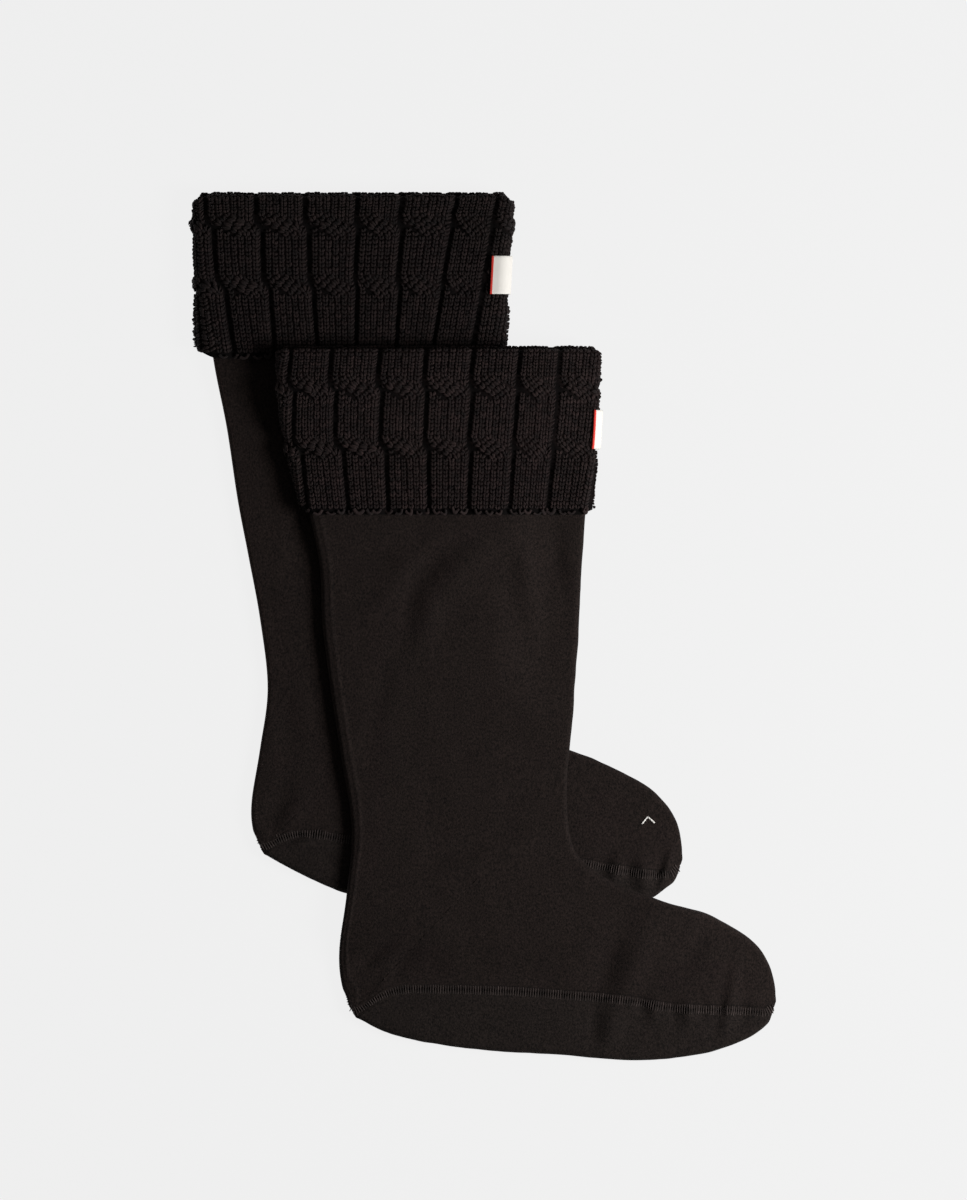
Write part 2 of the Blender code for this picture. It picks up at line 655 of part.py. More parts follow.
def make_cuff(sock, material, collection):
    """The knitted cuff: a tube turned down over the leg, with cables on its upper side and edges."""
    bm = bmesh.new()
    fine = add_grid(bm, cuff_outside(sock), closed=True)
    coarse = add_grid(bm, cuff_inside(sock), closed=True)
    kept = kept_columns(sock) + [len(fine[0]) - 1]
    add_rim(bm, fine[0], coarse[0], kept)
    add_rim(bm, fine[-1], coarse[-1], kept)
    return finish_wall(f"{sock.name}_cuff", bm, material, collection)


def make_label(sock, material, collection):
    """A woven label round the front edge of the cuff, made from the cuff's rays, moved out."""
    spacing = sock.sections[MOUTH_ROW].fold_y - sock.sections[MOUTH_ROW + 1].fold_y
    rows = steps_between(LABEL_TOP / spacing, (LABEL_TOP + LABEL_HEIGHT) / spacing, LABEL_ROWS)
    inner_radius = CUFF_OUTSIDE + LABEL_PAD + SEAM_GAP
    outer_radius = inner_radius + LABEL_THICK
    flat_length = max(sock.label_inset - outer_radius, 0.0)
    round_inset = min(sock.label_inset, outer_radius)
    first_angle = math.degrees(math.acos(1 - round_inset / outer_radius))
    turn = math.degrees((LABEL_LENGTH - flat_length) / outer_radius)
    angles = steps_between(first_angle, first_angle - turn, LABEL_STEPS)
    outer, inner = [], []
    for row in rows:
        section = section_at(sock.sections, row)
        centre = (section.fold_x - CUFF_HALF, section.fold_y)
        rays = fan(centre, (1.0, 0.0), angles, CUFF_HALF, CUFF_LIFT)
        if flat_length > 0:
            flat_end = (centre[0] - flat_length, centre[1])
            rays = fan(flat_end, (1.0, 0.0), (90,), CUFF_HALF, CUFF_LIFT) + rays
        outer.append([place(sock, ray, outer_radius) for ray in rays])
        inner.append([place(sock, ray, inner_radius) for ray in rays])
    every_row, every_column = range(len(outer)), range(len(outer[0]))
    return open_wall(f"{sock.name}_label", outer, inner, every_row, every_column, material, collection)


def make_material(name, colour, roughness):
    """A cloth material. The colour is linear."""
    material = bpy.data.materials.new(name)
    material.use_nodes = True
    shader = material.node_tree.nodes["Principled BSDF"]
    shader.inputs["Base Color"].default_value = (*colour, 1.0)
    shader.inputs["Roughness"].default_value = roughness
    shader.inputs["Metallic"].default_value = 0.0
    material.diffuse_color = (*colour, 1.0)
    return material


def build():
    for item in list(bpy.data.objects):
        bpy.data.objects.remove(item, do_unlink=True)
    collection = bpy.data.collections.new(COLLECTION)
    bpy.context.scene.collection.children.link(collection)
    under = Sock("under", UNDER_SECTIONS, UNDER_CREASES, flat_floor, **UNDER_DETAIL)
    top = Sock("top", TOP_SECTIONS, TOP_CREASES, floor_over(under, TOP_SECTIONS), **TOP_DETAIL)
    for sock in (under, top):
        make_leg(sock, make_material(f"{sock.name} leg fleece", FLEECE_COLOUR, FLEECE_ROUGHNESS), collection)
        make_sole(sock, make_material(f"{sock.name} sole fleece", SOLE_COLOUR, FLEECE_ROUGHNESS), collection)
        make_cuff(sock, make_material(f"{sock.name} cuff knit", KNIT_COLOUR, KNIT_ROUGHNESS), collection)
        make_label(sock, make_material(f"{sock.name} woven label", LABEL_COLOUR, LABEL_ROUGHNESS), collection)


build()
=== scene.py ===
"""The look of a pair of tall fleece boot socks with turned-down cable-knit cuffs, laid flat.

The under sock lies on the surface with its toe to +X and its cuff to +Y, and the top sock lies across it.
Sizes in the tables below are millimetres, and meshes and settings are in metres.
"""

import math
from collections import namedtuple
from functools import partial

import bmesh
import bpy
import numpy as np
from bpy.props import FloatProperty, FloatVectorProperty, IntProperty, PointerProperty
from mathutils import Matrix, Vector, noise


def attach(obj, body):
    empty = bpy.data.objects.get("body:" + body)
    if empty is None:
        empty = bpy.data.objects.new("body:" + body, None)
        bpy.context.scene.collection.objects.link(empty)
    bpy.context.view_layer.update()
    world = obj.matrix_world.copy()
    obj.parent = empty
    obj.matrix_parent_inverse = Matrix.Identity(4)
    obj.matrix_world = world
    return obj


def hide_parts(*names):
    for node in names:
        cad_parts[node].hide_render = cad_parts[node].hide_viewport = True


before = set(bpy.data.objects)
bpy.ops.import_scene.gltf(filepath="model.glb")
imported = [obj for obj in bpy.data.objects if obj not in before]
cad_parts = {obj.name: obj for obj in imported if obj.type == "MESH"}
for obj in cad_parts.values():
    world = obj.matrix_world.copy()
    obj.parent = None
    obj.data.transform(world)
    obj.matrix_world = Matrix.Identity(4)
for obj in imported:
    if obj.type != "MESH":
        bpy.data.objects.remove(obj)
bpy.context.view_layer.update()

bl_info = {
    "name": "Boot socks",
    "version": (1, 0, 0),
    "blender": (4, 5, 0),
    "location": "3D View > Sidebar > Boot socks",
    "description": "Builds a pair of fleece boot socks with cable-knit cuffs, laid flat",
    "category": "Add Mesh",
}

MM = 0.001
BODY = "root"
COLLECTION = "Boot socks"

# Cloth
FLEECE = 2.5
KNIT = 2.6
KNIT_INNER = 2.5
SEAM_GAP = 0.3
SEWN_GAP = 0.02  # between two fleece edges that are sewn flat
CUFF_HALF = 3.0  # half the thickness of the flattened fleece inside the cuff
MOUTH_HALF = CUFF_HALF - KNIT_INNER
LEAST_HOLLOW = 0.35  # half the height of the space inside the thinnest row of fleece
LEAST_HEIGHT = 0.02  # of yarn and thread above the surface that they rest on

# Fleece
LEG_EDGE_STEPS = 6
LEG_NEAR_STEPS = 66
LEG_ROUND_STEPS = 8
LEG_FAR_STEPS = 48
SOLE_STEPS = 22
LEAST_SOLE = 1.0  # the sole starts and ends where its seam lies this far up from the bottom edge
SEAM_ZONE = 6.4  # beside the near seam the steps are small
SEAM_ZONE_STEPS = 8
FLEECE_SKIP = 2  # the inner side has every second point
FLAT_SEAM = (0.2, 1.0)  # how far a seam faces up where it starts to count as flat, and where it is flat
EDGE_DIP = 0.15  # the share of its dip that a seam keeps on the outline
DIP_WIDTH = 1.3
SEAM_RIDGE = 1.5  # height of the soft ridge beside a flat seam, as a share of the seam's dip
RIDGE_PLACE, RIDGE_WIDTH = 7.0, 2.2
EDGE_RIDGE_PLACE, EDGE_RIDGE_WIDTH = 7.6, 1.2  # beside a seam that lies on the outline
SLACK_FADE = (3.0, 12.0)  # away from a seam
SLACK_WAVES = ((17, 1), (7, 0.5))  # sizes and shares
UNDERSIDE_RELIEF = 0.8  # the share of the dips that shows underneath, where nothing bulges out
TOE_FADE = (0.5, 3.0)  # of half the thickness
SEAM_SHADE = 0.6  # brightness of the line of painted shade beside a leg's seam

# Cuff
CUFF_INSIDE = CUFF_HALF + SEAM_GAP
CUFF_OUTSIDE = CUFF_INSIDE + KNIT
CUFF_LIFT = CUFF_OUTSIDE - CUFF_HALF
FOLD_RADIUS = (CUFF_OUTSIDE - MOUTH_HALF) / 2
FOLD_ARC = math.pi * (FOLD_RADIUS + 0.5)  # along the knit, over the fold at the mouth
CORNER_FADE = 14.0
FLARE_REACH = 60.0
NEAR_LIP_DROP = 2.2
HIDDEN_ROWS_IN_CUFF = 8
FLEECE_ROWS_IN_CUFF = 6
CUFF_TABLE_STEPS = 60
LEVEL = 1e-6  # a ray that points less far sideways points straight up or down

# Cables
CABLES_ROUND = 14
EDGE_CABLES = 0.7  # round each edge of the flattened cuff
CABLE_SPACING = 36.0  # from one crossing of the strands to the next
CROSSINGS = 2  # down a cuff
CROSSING_LENGTH = 11.0
LOOSE_CROSSING = 13.0  # the length over which the strand in front lies aslant
TUCK = 3.0  # the strand behind shows this far past a crossing's middle, on both its sides
TUCK_DROP = 1.7
STRAND_HEIGHT = 2.2
CROSSING_EXTRA = 0.9
STRAND_OFFSET = 0.2175  # of a cable's width
STRAND_REACH = 0.27
CROSSING_SPREAD = 0.55  # the share by which the strand in front is wider where it crosses
KINK_LENGTH = 7.0  # of a groove, where the strands cross
GROOVE_DEPTH = 1.5  # below the knit's plain surface
GROOVE_REACH = 0.085  # of a cable's width
UNDERSIDE_FADE = (-0.8, -0.2)
WALES_IN_STRAND = 3
WALE_SPACING = 0.141  # of a cable's width
CREASE_WIDTH = 0.04  # beside the strand in front where it crosses, of a cable's width
CREASE_SHADE = 0.08  # width of the painted shadow there
HEM_FADE = (3.0, 8.0)  # painted shade darkens the backing towards the hem
BLOCK_POWER = 2.6  # how square a cable is between two crossings
BLOCK_DROP = 0.9  # the share of its height that it loses at a crossing
KNIT_COLUMNS_IN_CABLE = 20
KNIT_ROWS_DOWN = 68
KNIT_ROWS_OVER = 12
KNIT_ROWS_INSIDE = 16
KNIT_SKIP = 4
HEM_INSET = 0.4
STITCH_ROOM = 0.85  # the knit's backing lies this far below the knit's surface
INSIDE_ROOM = 0.1 * STITCH_ROOM
STRAND_ROOM, FLANK_ROOM = 0.65, 0.8  # how far the stitches sit below that surface, of STITCH_ROOM

# Stitches
FRONT, BACK, SURFACE = "front", "back", "surface"
Wale = namedtuple("Wale", "kind side offset")
WALES = (
    *(
        Wale(kind, side, (number - (WALES_IN_STRAND - 1) / 2) * WALE_SPACING)
        for kind, side in ((FRONT, 1), (BACK, 1), (BACK, -1))
        for number in range(WALES_IN_STRAND)
    ),
    Wale(SURFACE, 1, 0.0),
)
WALE_WIDTH = 3.6  # for which a stitch of the sizes below is made
FLANK_INSET = 0.075  # from a groove to the middle of its left flank, of a cable's width
FLANK_SLANT = math.radians(38)
CROSSING_UNREST = 0.4  # how much more uneven the stitches are where the strands cross
STITCH_SHIFT = 0.15  # the usual unevenness of a stitch's place and turn
FRAME_STEP, FRAME_SIDE = 0.6, 0.02  # along the knit, and across it in cables
PATH_JUMP = 0.1  # a path moves less than this in one step, in cables
ASTRAY = 0.4  # a stitch that points less far out than this is set straight
TURNED_DOWN = -0.35  # a stitch that points less far up than this lies underneath
LAST_ROW_INSET = 5.2  # from the hem to the lowest row
TOP_ROW_SHARE = 0.8  # of the fold's arc that has rows
EDGE_FLATNESS = 0.5  # the height of a stitch on the outline, beside one that faces up
STITCH_PLACES = {"Spread": 0.9 * MM, "Pitch": math.radians(-23)}
FLANK_SIZES = {"Leg width": 1.3 * MM, "Leg length": 4.2 * MM, "Leg height": 1.4 * MM}
HEM_SIZES = {"Length": 4.6 * MM, "Thickness": 2.0 * MM, "Drop": 1.9 * MM}
HEM_LOOPS = 58
LOOP_SPACING = (0.17, 0.31)  # before they are spread evenly round the cuff
LOOP_AHEAD = 0.05  # round the cuff, to find the hem's direction
LOOP_INSET, LOOP_SHIFT, LOOP_TILT = 1.0, 0.4, 0.35  # from the hem's end, and how uneven the loops lie
LOOP_WIDTHS, LOOP_HEIGHTS = (0.7, 1.2), (0.7, 1.5)
EDGE_LOOP = 0.6  # the size of a loop on the outline, beside one that faces up

# Columns of an array of rays, and of an array of stitches
OUT_X, UP, HALF = 2, 4, 5
PLACE, ALONG, OUT, STRETCH, LENGTH = slice(0, 3), slice(3, 6), slice(6, 9), slice(9, 10), slice(10, 11)
FLOAT, VECTOR = "FLOAT", "FLOAT_VECTOR"

# Label
LABEL_TOP = 38.5
LABEL_HEIGHT = 22.8
LABEL_LENGTH = 22.5
LABEL_THICK = 1.0
LABEL_PAD = 1.3
LABEL_ROOM = LABEL_PAD - 0.2  # for the knit under the label
LABEL_EDGE_DROP, LABEL_EDGE_WIDTH = 0.25, 0.6
LABEL_ROWS = 24
LABEL_STEPS = 40
LABEL_MARGIN = 4.0
LABEL_FADE = 6.0
LABEL_LIFT = 3.3
LABEL_LIFT_REACH = 28.0

# How the top sock drapes over the under sock
REST_CLEARANCE = 0.5
DRAPE_MARGIN = 9.0
DRAPE_REACH = 4.8
DRAPE_BLEND = 2.0

# Rows of the tables below
MOUTH_ROW = 0
HEM_ROW = 2
LEG_ROW = 3
CORNER_ROW = 11
TOE_ROW = 19
SOLE_END_ROW = 23
LAST_ROW = 24
FLEECE_STRETCHES = ((HEM_ROW, 12), (LEG_ROW, 14), (CORNER_ROW, 112), (TOE_ROW, 112), (LAST_ROW, 28))  # end and steps

# Ladder seams. The arc is the cloth's length from the outline to the seam. Without one, the seam lies where the
# panel meets the sole, and it is left out where that is less than the least arc. Stitches reach across the seam,
# and they have a share of the stitch length, drop at their ends and a lift off the cloth.
Seam = namedtuple("Seam", "kind first_row last_row arc least_arc side reach drop share lift")
SEAMS = (
    Seam("sole_seam", CORNER_ROW, SOLE_END_ROW, None, 2.0, 1, 2.0, 0.35, 1.0, 0.1),
    Seam("sole_seam_underneath", CORNER_ROW, SOLE_END_ROW, None, 8.5, -1, 2.0, 0.1, 1.0, -0.5),
    Seam("back_seam", HEM_ROW + 0.15, CORNER_ROW + 0.2, 3.9, 0.0, 1, 1.0, 0.5, 0.6, -0.45),
)

# Materials
WORN_PATCH = 14 * MM
WANDER = 5 * MM
FUZZ = 0.9 * MM
FUZZ_DEPTH = 0.3 * MM
WEAVE_DEPTH = 0.06 * MM
WEFT_SPACING, WARP_SPACING = 0.45, 0.6
PLIES = 2.2  # that show over a yarn's width
SEAM_LINE = 3.4  # from a seam to where its stitches end
YARN_NAME = "Spun yarn of the {} cuff"
# How much the tone differs a stitch, how steep the plies are, how light the fuzz is, and how far the tone wanders
Yarn = namedtuple("Yarn", "contrast twist fleck patch")
WOOL = Yarn(0.55, 0.9, 3.1, 0.4)
SEAM_THREAD = Yarn(0.5, 1.5, 1.3, 0.6)
MARK_THREAD = Yarn(0.05, 1.5, 1.0, 0.0)

# The mark on the toe
MARK_TOP = np.array((98.4, -114.6))
MARK_FEET = ((94.9, -119.0), (102.6, -118.4))
MARK_STITCHES = (0.2, 0.5, 0.8)  # along each leg of the mark
MARK_LIFT = 0.25
MARK_SIZES = {"Leg width": 1.05 * MM, "Leg length": 2.5 * MM, "Leg height": 0.7 * MM, "Unevenness": 0.05, "Seed": 2}

# Stage, in metres
FLOOR_REACH, FLOOR_Z = 4.0, -0.0003
FLOOR_LIGHT = 0.93  # the floor's own reflection for each unit of its brightness under these lights
KEY_PLACE = Vector((0.82, -0.1, 0.66))
CAMERA_Y = 0.0153
SENSOR = 36.0

# Flat cuts: width and length of the blank in metres, and the cut's own area in square metres
Cut = namedtuple("Cut", "width length area")

Section = namedtuple("Section", "seam_x seam_y fold_x fold_y sole_x sole_y half")
Crease = namedtuple("Crease", "x y angle length width height")
Ray = namedtuple("Ray", "x y out_x out_y up half lift")
Sock = namedtuple(
    "Sock",
    "name knit_tone sections creases hidden_creases floor cables_near first_groove groove_lean grooves first_crossing"
    " hem_flare corner label_inset seam_ridge rim_light",
)
# How far a groove lies from its even place at the mouth and at the hem, and how far it is pushed aside where the
# strands cross, all of a cable's width
Groove = namedtuple("Groove", "number at_mouth at_hem kink")


def leg(back_x, back_y, front_x, front_y, half):
    """A row across the leg: the back seam lies on the outline."""
    return Section(back_x, back_y, front_x, front_y, back_x, back_y, half)


def foot(seam_x, seam_y, top_x, top_y, sole_x, sole_y, half):
    """A row across the foot: the sole seam lies inside the outline, above the sole's bottom edge."""
    return Section(seam_x, seam_y, top_x, top_y, sole_x, sole_y, half)


TOP_SECTIONS = (
    leg(-120.5, 167.5, 67, 167.5, 3.0),
    leg(-116, 117, 65.5, 117, 3.0),
    leg(-104, 66, 61, 66, 3.0),
    leg(-98, 34, 59, 36.5, 3.4),
    leg(-96.5, 0.5, 57.5, 6.5, 3.4),
    leg(-91.5, -38.5, 56, -20.5, 3.4),
    leg(-85.5, -77.5, 54.5, -40, 3.4),
    leg(-79, -121.5, 53.5, -54.5, 3.4),
    leg(-82, -160.5, 52.5, -65.5, 3.4),
    leg(-86.5, -194.5, 51.5, -76, 3.4),
    leg(-85, -215.5, 50.5, -85.5, 3.4),
    leg(-79, -231.5, 50, -95, 3.4),
    foot(-64.5, -223, 50, -108.5, -70.5, -238, 3.4),
    foot(-49, -218, 51.5, -124, -55, -245, 3.4),
    foot(-22, -218, 56.5, -137.5, -26, -251.5, 3.4),
    foot(13, -219, 70, -149.5, 10, -255.5, 3.4),
    foot(49, -221.5, 88, -158, 46, -257.5, 3.4),
    foot(83, -224.5, 110, -166, 82, -260.5, 3.4),
    foot(110.5, -229, 133, -172.5, 113, -259.5, 3.4),
    foot(133.5, -230.5, 152, -182.5, 139, -255, 3.4),
    foot(149.5, -231, 164, -192, 156.5, -248.5, 3.3),
    foot(161, -232, 170.5, -201.5, 167, -242, 3.1),
    foot(168.5, -232.5, 173.5, -210.5, 171.5, -236.5, 2.7),
    leg(174.5, -228.5, 175, -218, 2.1),
    leg(175, -225.5, 175, -221.5, 1.5),
)
UNDER_SECTIONS = (
    leg(-170.5, 260, 14, 260, 3.0),
    leg(-168.5, 209.5, 11.5, 209.5, 3.0),
    leg(-162, 159.5, 8.5, 159.5, 3.0),
    leg(-154, 118.5, 5.5, 123.5, 3.4),
    leg(-147.5, 75.5, 4, 96.5, 3.4),
    leg(-141, 41.5, 2, 72.5, 3.4),
    leg(-134, 3.5, 0.5, 51.5, 3.4),
    leg(-129.5, -37.5, -1, 34.5, 3.4),
    leg(-134, -73.5, -2, 21.5, 3.4),
    leg(-139, -104.5, -3, 9.5, 3.4),
    leg(-138.5, -121.5, -3.5, -1.5, 3.4),
    leg(-134, -133.5, -4, -12.5, 3.4),
    foot(-122.5, -127.5, -4, -26.5, -126.5, -140, 3.4),
    foot(-107, -124.5, -0.5, -40, -110.5, -148.5, 3.4),
    foot(-79, -128.5, 8.5, -52, -83, -160.5, 3.4),
    foot(-43.5, -132, 20, -62, -47, -167, 3.4),
    foot(-7.5, -135.5, 35.5, -69.5, -11, -171.5, 3.4),
    foot(26, -139, 56, -76, 25, -173.5, 3.4),
    foot(53.5, -142, 77, -85, 56, -174.5, 3.4),
    foot(77, -146, 97, -95.5, 82, -170.5, 3.4),
    foot(94, -149, 108.5, -106, 100, -164, 3.3),
    foot(105.5, -150, 114.5, -115, 110.5, -156.5, 3.1),
    foot(112.5, -149, 117.5, -123, 115.5, -151, 2.7),
    leg(118.5, -143, 119, -133, 2.1),
    leg(119, -140.5, 119, -136.5, 1.5),
)

# Soft folds of the upper side: middle, direction in degrees, length, width and height. A trough is negative.
TOP_CREASES = (
    Crease(-20, 40, 120, 70, 30, 0.6),
    Crease(-45, -195, 25, 60, 26, 0.8),
    Crease(140, -218, 75, 40, 24, 0.7),
    # from under the cuff's hem down the leg
    Crease(-25, 44, 49, 60, 13, -1.4),
    Crease(-12, 35, 51, 62, 18, 2.0),
    Crease(-52, 28, 55, 62, 16, 1.2),
    Crease(-45, 8, 78, 38, 12, -1.2),
    Crease(-33, 6, 80, 42, 15, 1.5),
    Crease(26, 34, 98, 74, 13, 2.6),
    Crease(42, 50, 99, 46, 9, -1.6),
    Crease(14, 22, 100, 46, 12, -0.8),
    Crease(53, 40, 95, 50, 8, 0.7),
    Crease(56, 61, 88, 26, 18, 2.0),
    # across the knee and the ankle
    Crease(30, -88, 12, 46, 8, 0.7),
    Crease(22, -101, 17, 56, 10, -0.9),
    Crease(-66, -60, 78, 76, 12, -0.8),
    Crease(-30, -120, 100, 70, 22, -0.6),
    Crease(-9, -142, 23, 62, 15, 1.2),
    Crease(-3, -132, 23, 60, 14, -1.1),
    # over the foot
    Crease(74, -203, 72, 54, 13, -1.4),
    Crease(90, -206, 70, 58, 17, 2.6),
    Crease(66, -241, 84, 22, 9, -1.3),
    Crease(77, -241, 84, 26, 11, 1.8),
    Crease(126, -196, 60, 34, 12, -0.9),
    Crease(126, -198, 75, 90, 56, 3.2),
    Crease(147.8, -227, 80, 46, 5, 2.4),
    Crease(141.5, -228, 79, 38, 6, -1.3),
    # gathers along the sole seam
    Crease(95, -229, 88, 14, 6, -1.4),
    Crease(103, -230, 84, 14, 6, 1.6),
    Crease(114, -232, 96, 14, 6, -1.4),
    Crease(123, -232, 88, 14, 6, 1.6),
    Crease(132, -232, 88, 12, 5, -1.2),
    Crease(156, -232, 84, 16, 5, -1.3),
    # at the heel
    Crease(-58, -215, 43, 24, 9, 1.1),
    Crease(-52, -207, 60, 24, 9, -0.9),
    Crease(-69, -201, 42, 26, 8, -1.0),
    Crease(-45, -199, 55, 26, 10, -0.8),
    Crease(-73, -228, 20, 14, 6, -0.7),
)
UNDER_CREASES = (
    Crease(-135, 95, 80, 60, 22, 0.5),
    Crease(-120, -110, 20, 40, 24, 0.5),
    Crease(-126, 128, 74, 44, 10, -1.1),
    Crease(-110, 60, 84, 60, 12, -0.5),
    Crease(-118, -60, 92, 60, 13, -0.9),
    Crease(-123, -109, 72, 30, 12, -1.2),
    Crease(-115, -113, 60, 28, 11, 0.9),
    Crease(-104, -128, 25, 28, 6, 1.4),
    # gathers along the sole seam at the toe
    Crease(71, -146, 62, 16, 9, -2.2),
    Crease(80, -147, 76, 16, 6, 1.9),
    Crease(87, -149, 86, 16, 5, -1.7),
    Crease(96, -149, 97, 22, 8, 2.4),
    Crease(104.5, -149, 76, 20, 4.5, -1.4),
    Crease(110, -145, 72, 20, 4.5, 1.5),
)
# Troughs pressed into the side that is turned down, by how far the cloth lifts off what is under it
TOP_HIDDEN_CREASES = (
    Crease(-20, -20, 60, 90, 14, 0.35),
    Crease(20, -110, 25, 60, 12, 0.35),
    Crease(110, -205, 70, 44, 10, 0.35),
)
UNDER_HIDDEN_CREASES = (
    Crease(-70, 60, 70, 90, 16, 0.45),
    Crease(-60, -60, 110, 70, 14, 0.4),
    Crease(20, -110, 20, 60, 12, 0.45),
    Crease(90, -130, 75, 40, 9, 0.4),
)

TOP_GROOVES = (
    Groove(0, -0.06, 0.0, 0.16),
    Groove(1, -0.18, 0.0, 0.165),
    Groove(2, -0.1, -0.03, 0.13),
    Groove(3, -0.08, -0.04, 0.08),
    Groove(4, -0.03, -0.07, 0.07),
    Groove(5, 0.01, -0.07, 0.01),
    Groove(6, -0.12, -0.12, 0.01),
    Groove(8, 0.0, 0.0, 0.08),
    Groove(13, 0.0, 0.0, 0.1),
)
UNDER_GROOVES = (
    Groove(0, -0.2, 0.2, 0.15),
    Groove(1, -0.1, 0.1, 0.13),
    Groove(2, -0.07, 0.02, 0.065),
    Groove(3, 0.05, -0.13, 0.055),
    Groove(4, -0.02, -0.21, 0.075),
    Groove(5, 0.16, -0.43, 0.02),
    Groove(6, 0.0, -0.55, 0.01),
    Groove(7, 0.0, -0.3, 0.05),
    Groove(9, 0.0, 0.0, 0.08),
    Groove(13, 0.0, 0.0, 0.1),
)


def linear(hex_code):
    """A linear colour from an sRGB hex code."""
    shares = [int(hex_code[k : k + 2], 16) / 255 for k in (0, 2, 4)]
    return tuple(s / 12.92 if s <= 0.04045 else ((s + 0.055) / 1.055) ** 2.4 for s in shares)


def colour_property(name, description, hex_code):
    return FloatVectorProperty(
        name=name, description=description, subtype="COLOR", size=3, min=0, max=1, default=linear(hex_code)
    )


def number_property(name, description, value, least=0, **kind):
    return FloatProperty(name=name, description=description, min=least, default=value, **kind)


def length_property(name, description, millimetres):
    """A length setting. Its default is given in millimetres and kept in metres."""
    return number_property(name, description, millimetres * MM, unit="LENGTH", precision=5)


class FleeceSettings(bpy.types.PropertyGroup):
    """The brushed fleece of the legs and soles."""

    leg_colour: colour_property("Leg colour", "Colour of the leg panels", "191311")
    sole_colour: colour_property("Sole colour", "Colour of the soles", "191412")
    thickness: length_property("Thickness", "Thickness of the fleece", FLEECE)
    nap_size: length_property("Nap size", "Width of the tufts of the nap", 1.0)
    nap_depth: length_property("Nap depth", "Height of the tufts of the nap", 0.35)
    seam_dip: length_property("Seam dip", "How deep the fleece is drawn in along a seam", 0.3)
    slack: length_property("Slack", "Height of the cloth's small uneven waves", 0.42)


class KnitSettings(bpy.types.PropertyGroup):
    """The chunky cable knit of the cuffs."""

    colour: colour_property("Colour", "Colour of the yarn", "160e0d")
    row_spacing: length_property("Row spacing", "From one row of stitches to the next", 2.33)
    stitch_length: length_property("Stitch length", "Length of each leg of a stitch", 3.0)
    yarn_width: length_property("Yarn width", "Width of the yarn, seen from above", 1.85)
    yarn_height: length_property("Yarn height", "Height of the yarn", 2.0)
    lean: number_property("Lean", "Lean of a stitch's two legs", math.radians(27), subtype="ANGLE", max=1)
    unevenness: number_property("Unevenness", "Share by which stitches differ", 0.15, max=0.5)
    seed: IntProperty(name="Seed", description="Seed of the small differences", min=0, default=7)


class SewingSettings(bpy.types.PropertyGroup):
    """The flat ladder seams and the stitched mark on the toe."""

    colour: colour_property("Thread colour", "Colour of the seam thread", "2e2725")
    mark_colour: colour_property("Mark colour", "Colour of the stitched mark", "e9e6e0")
    spacing: length_property("Spacing", "From one cross stitch to the next", 1.5)
    bar_length: length_property("Cross stitch length", "Length of a cross stitch over the seam", 5.6)
    thread: length_property("Thread width", "Width of the seam thread", 0.6)


class LabelSettings(bpy.types.PropertyGroup):
    """The small woven label on the edge of each cuff."""

    tape_colour: colour_property("Tape colour", "Colour of the woven tape", "dedad3")
    stripe_colour: colour_property("Stripe colour", "Colour of the stripe at its stitched end", "d3362c")
    stripe_width: length_property("Stripe width", "Width of the stripe", 1.3)


class StageSettings(bpy.types.PropertyGroup):
    """The floor, the lights and the camera."""

    floor_colour: colour_property("Floor colour", "Colour of the floor", "f0f0f0")
    floor_glow: number_property("Floor glow", "Share of the floor's light that no shadow takes away", 0.97, max=1)
    camera_height: number_property("Camera height", "Height above the floor", 7.0, 1, unit="LENGTH")
    view_height: number_property("View height", "Length of floor in the picture", 0.72, 0.1, unit="LENGTH")
    sky: number_property("Sky", "Strength of the light from all round", 0.15)
    key: number_property("Key light", "Power of the main light in watts", 17.0)
    key_size: number_property("Key light size", "Width of the main light", 0.5, 0.01, unit="LENGTH")


# ---- Sections and rays ----


def smoothstep(start, end, value):
    """0 before start and 1 after end, with a soft change between."""
    share = np.clip((value - start) / (end - start), 0.0, 1.0)
    return share * share * (3 - 2 * share)


def bell(value, width):
    """1 where the value is 0, falling away softly on both sides."""
    return np.exp(-((value / width) ** 2))


def spline(before, start, end, after, share):
    """A point between start and end on the smooth curve through four evenly numbered values."""
    square, cube = share * share, share * share * share
    return 0.5 * (
        2 * start
        + (end - before) * share
        + (2 * before - 5 * start + 4 * end - after) * square
        + (3 * start - before - 3 * end + after) * cube
    )


def section_at(sections, row):
    """The section at any row number, on a smooth curve through the rows of the table."""
    start = min(int(row), len(sections) - 2)
    values = []
    for column in zip(*sections):
        begin, end = column[start], column[start + 1]
        before = column[start - 1] if start > 0 else 2 * begin - end
        after = column[start + 2] if start + 2 < len(column) else 2 * end - begin
        values.append(spline(before, begin, end, after, row - start))
    return Section(*values)


def unit(x, y):
    size = math.hypot(x, y)
    return x / size, y / size


def shifted(point, direction, distance):
    return point[0] + direction[0] * distance, point[1] + direction[1] * distance


def steps_between(start, end, steps):
    return [start + (end - start) * k / steps for k in range(steps + 1)]


def outline_distance(x, y, outline):
    """How far points lie outside a closed outline, and 0 on it or inside."""
    inside = np.zeros(x.shape, bool)
    nearest = np.full(x.shape, np.inf)
    for (ax, ay), (bx, by) in zip(outline, outline[1:] + outline[:1]):
        dx, dy = bx - ax, by - ay
        share = np.clip(((x - ax) * dx + (y - ay) * dy) / (dx * dx + dy * dy), 0.0, 1.0)
        nearest = np.minimum(nearest, np.hypot(x - ax - share * dx, y - ay - share * dy))
        if dy:
            inside ^= ((ay > y) != (by > y)) & (x < ax + (y - ay) / dy * dx)
    return np.where(inside, 0.0, nearest)


def fall(height, distance):
    """The height of cloth that lies on something this high, at a distance beyond its edge."""
    return height * (1 - smoothstep(DRAPE_MARGIN, DRAPE_MARGIN + DRAPE_REACH * height, distance))


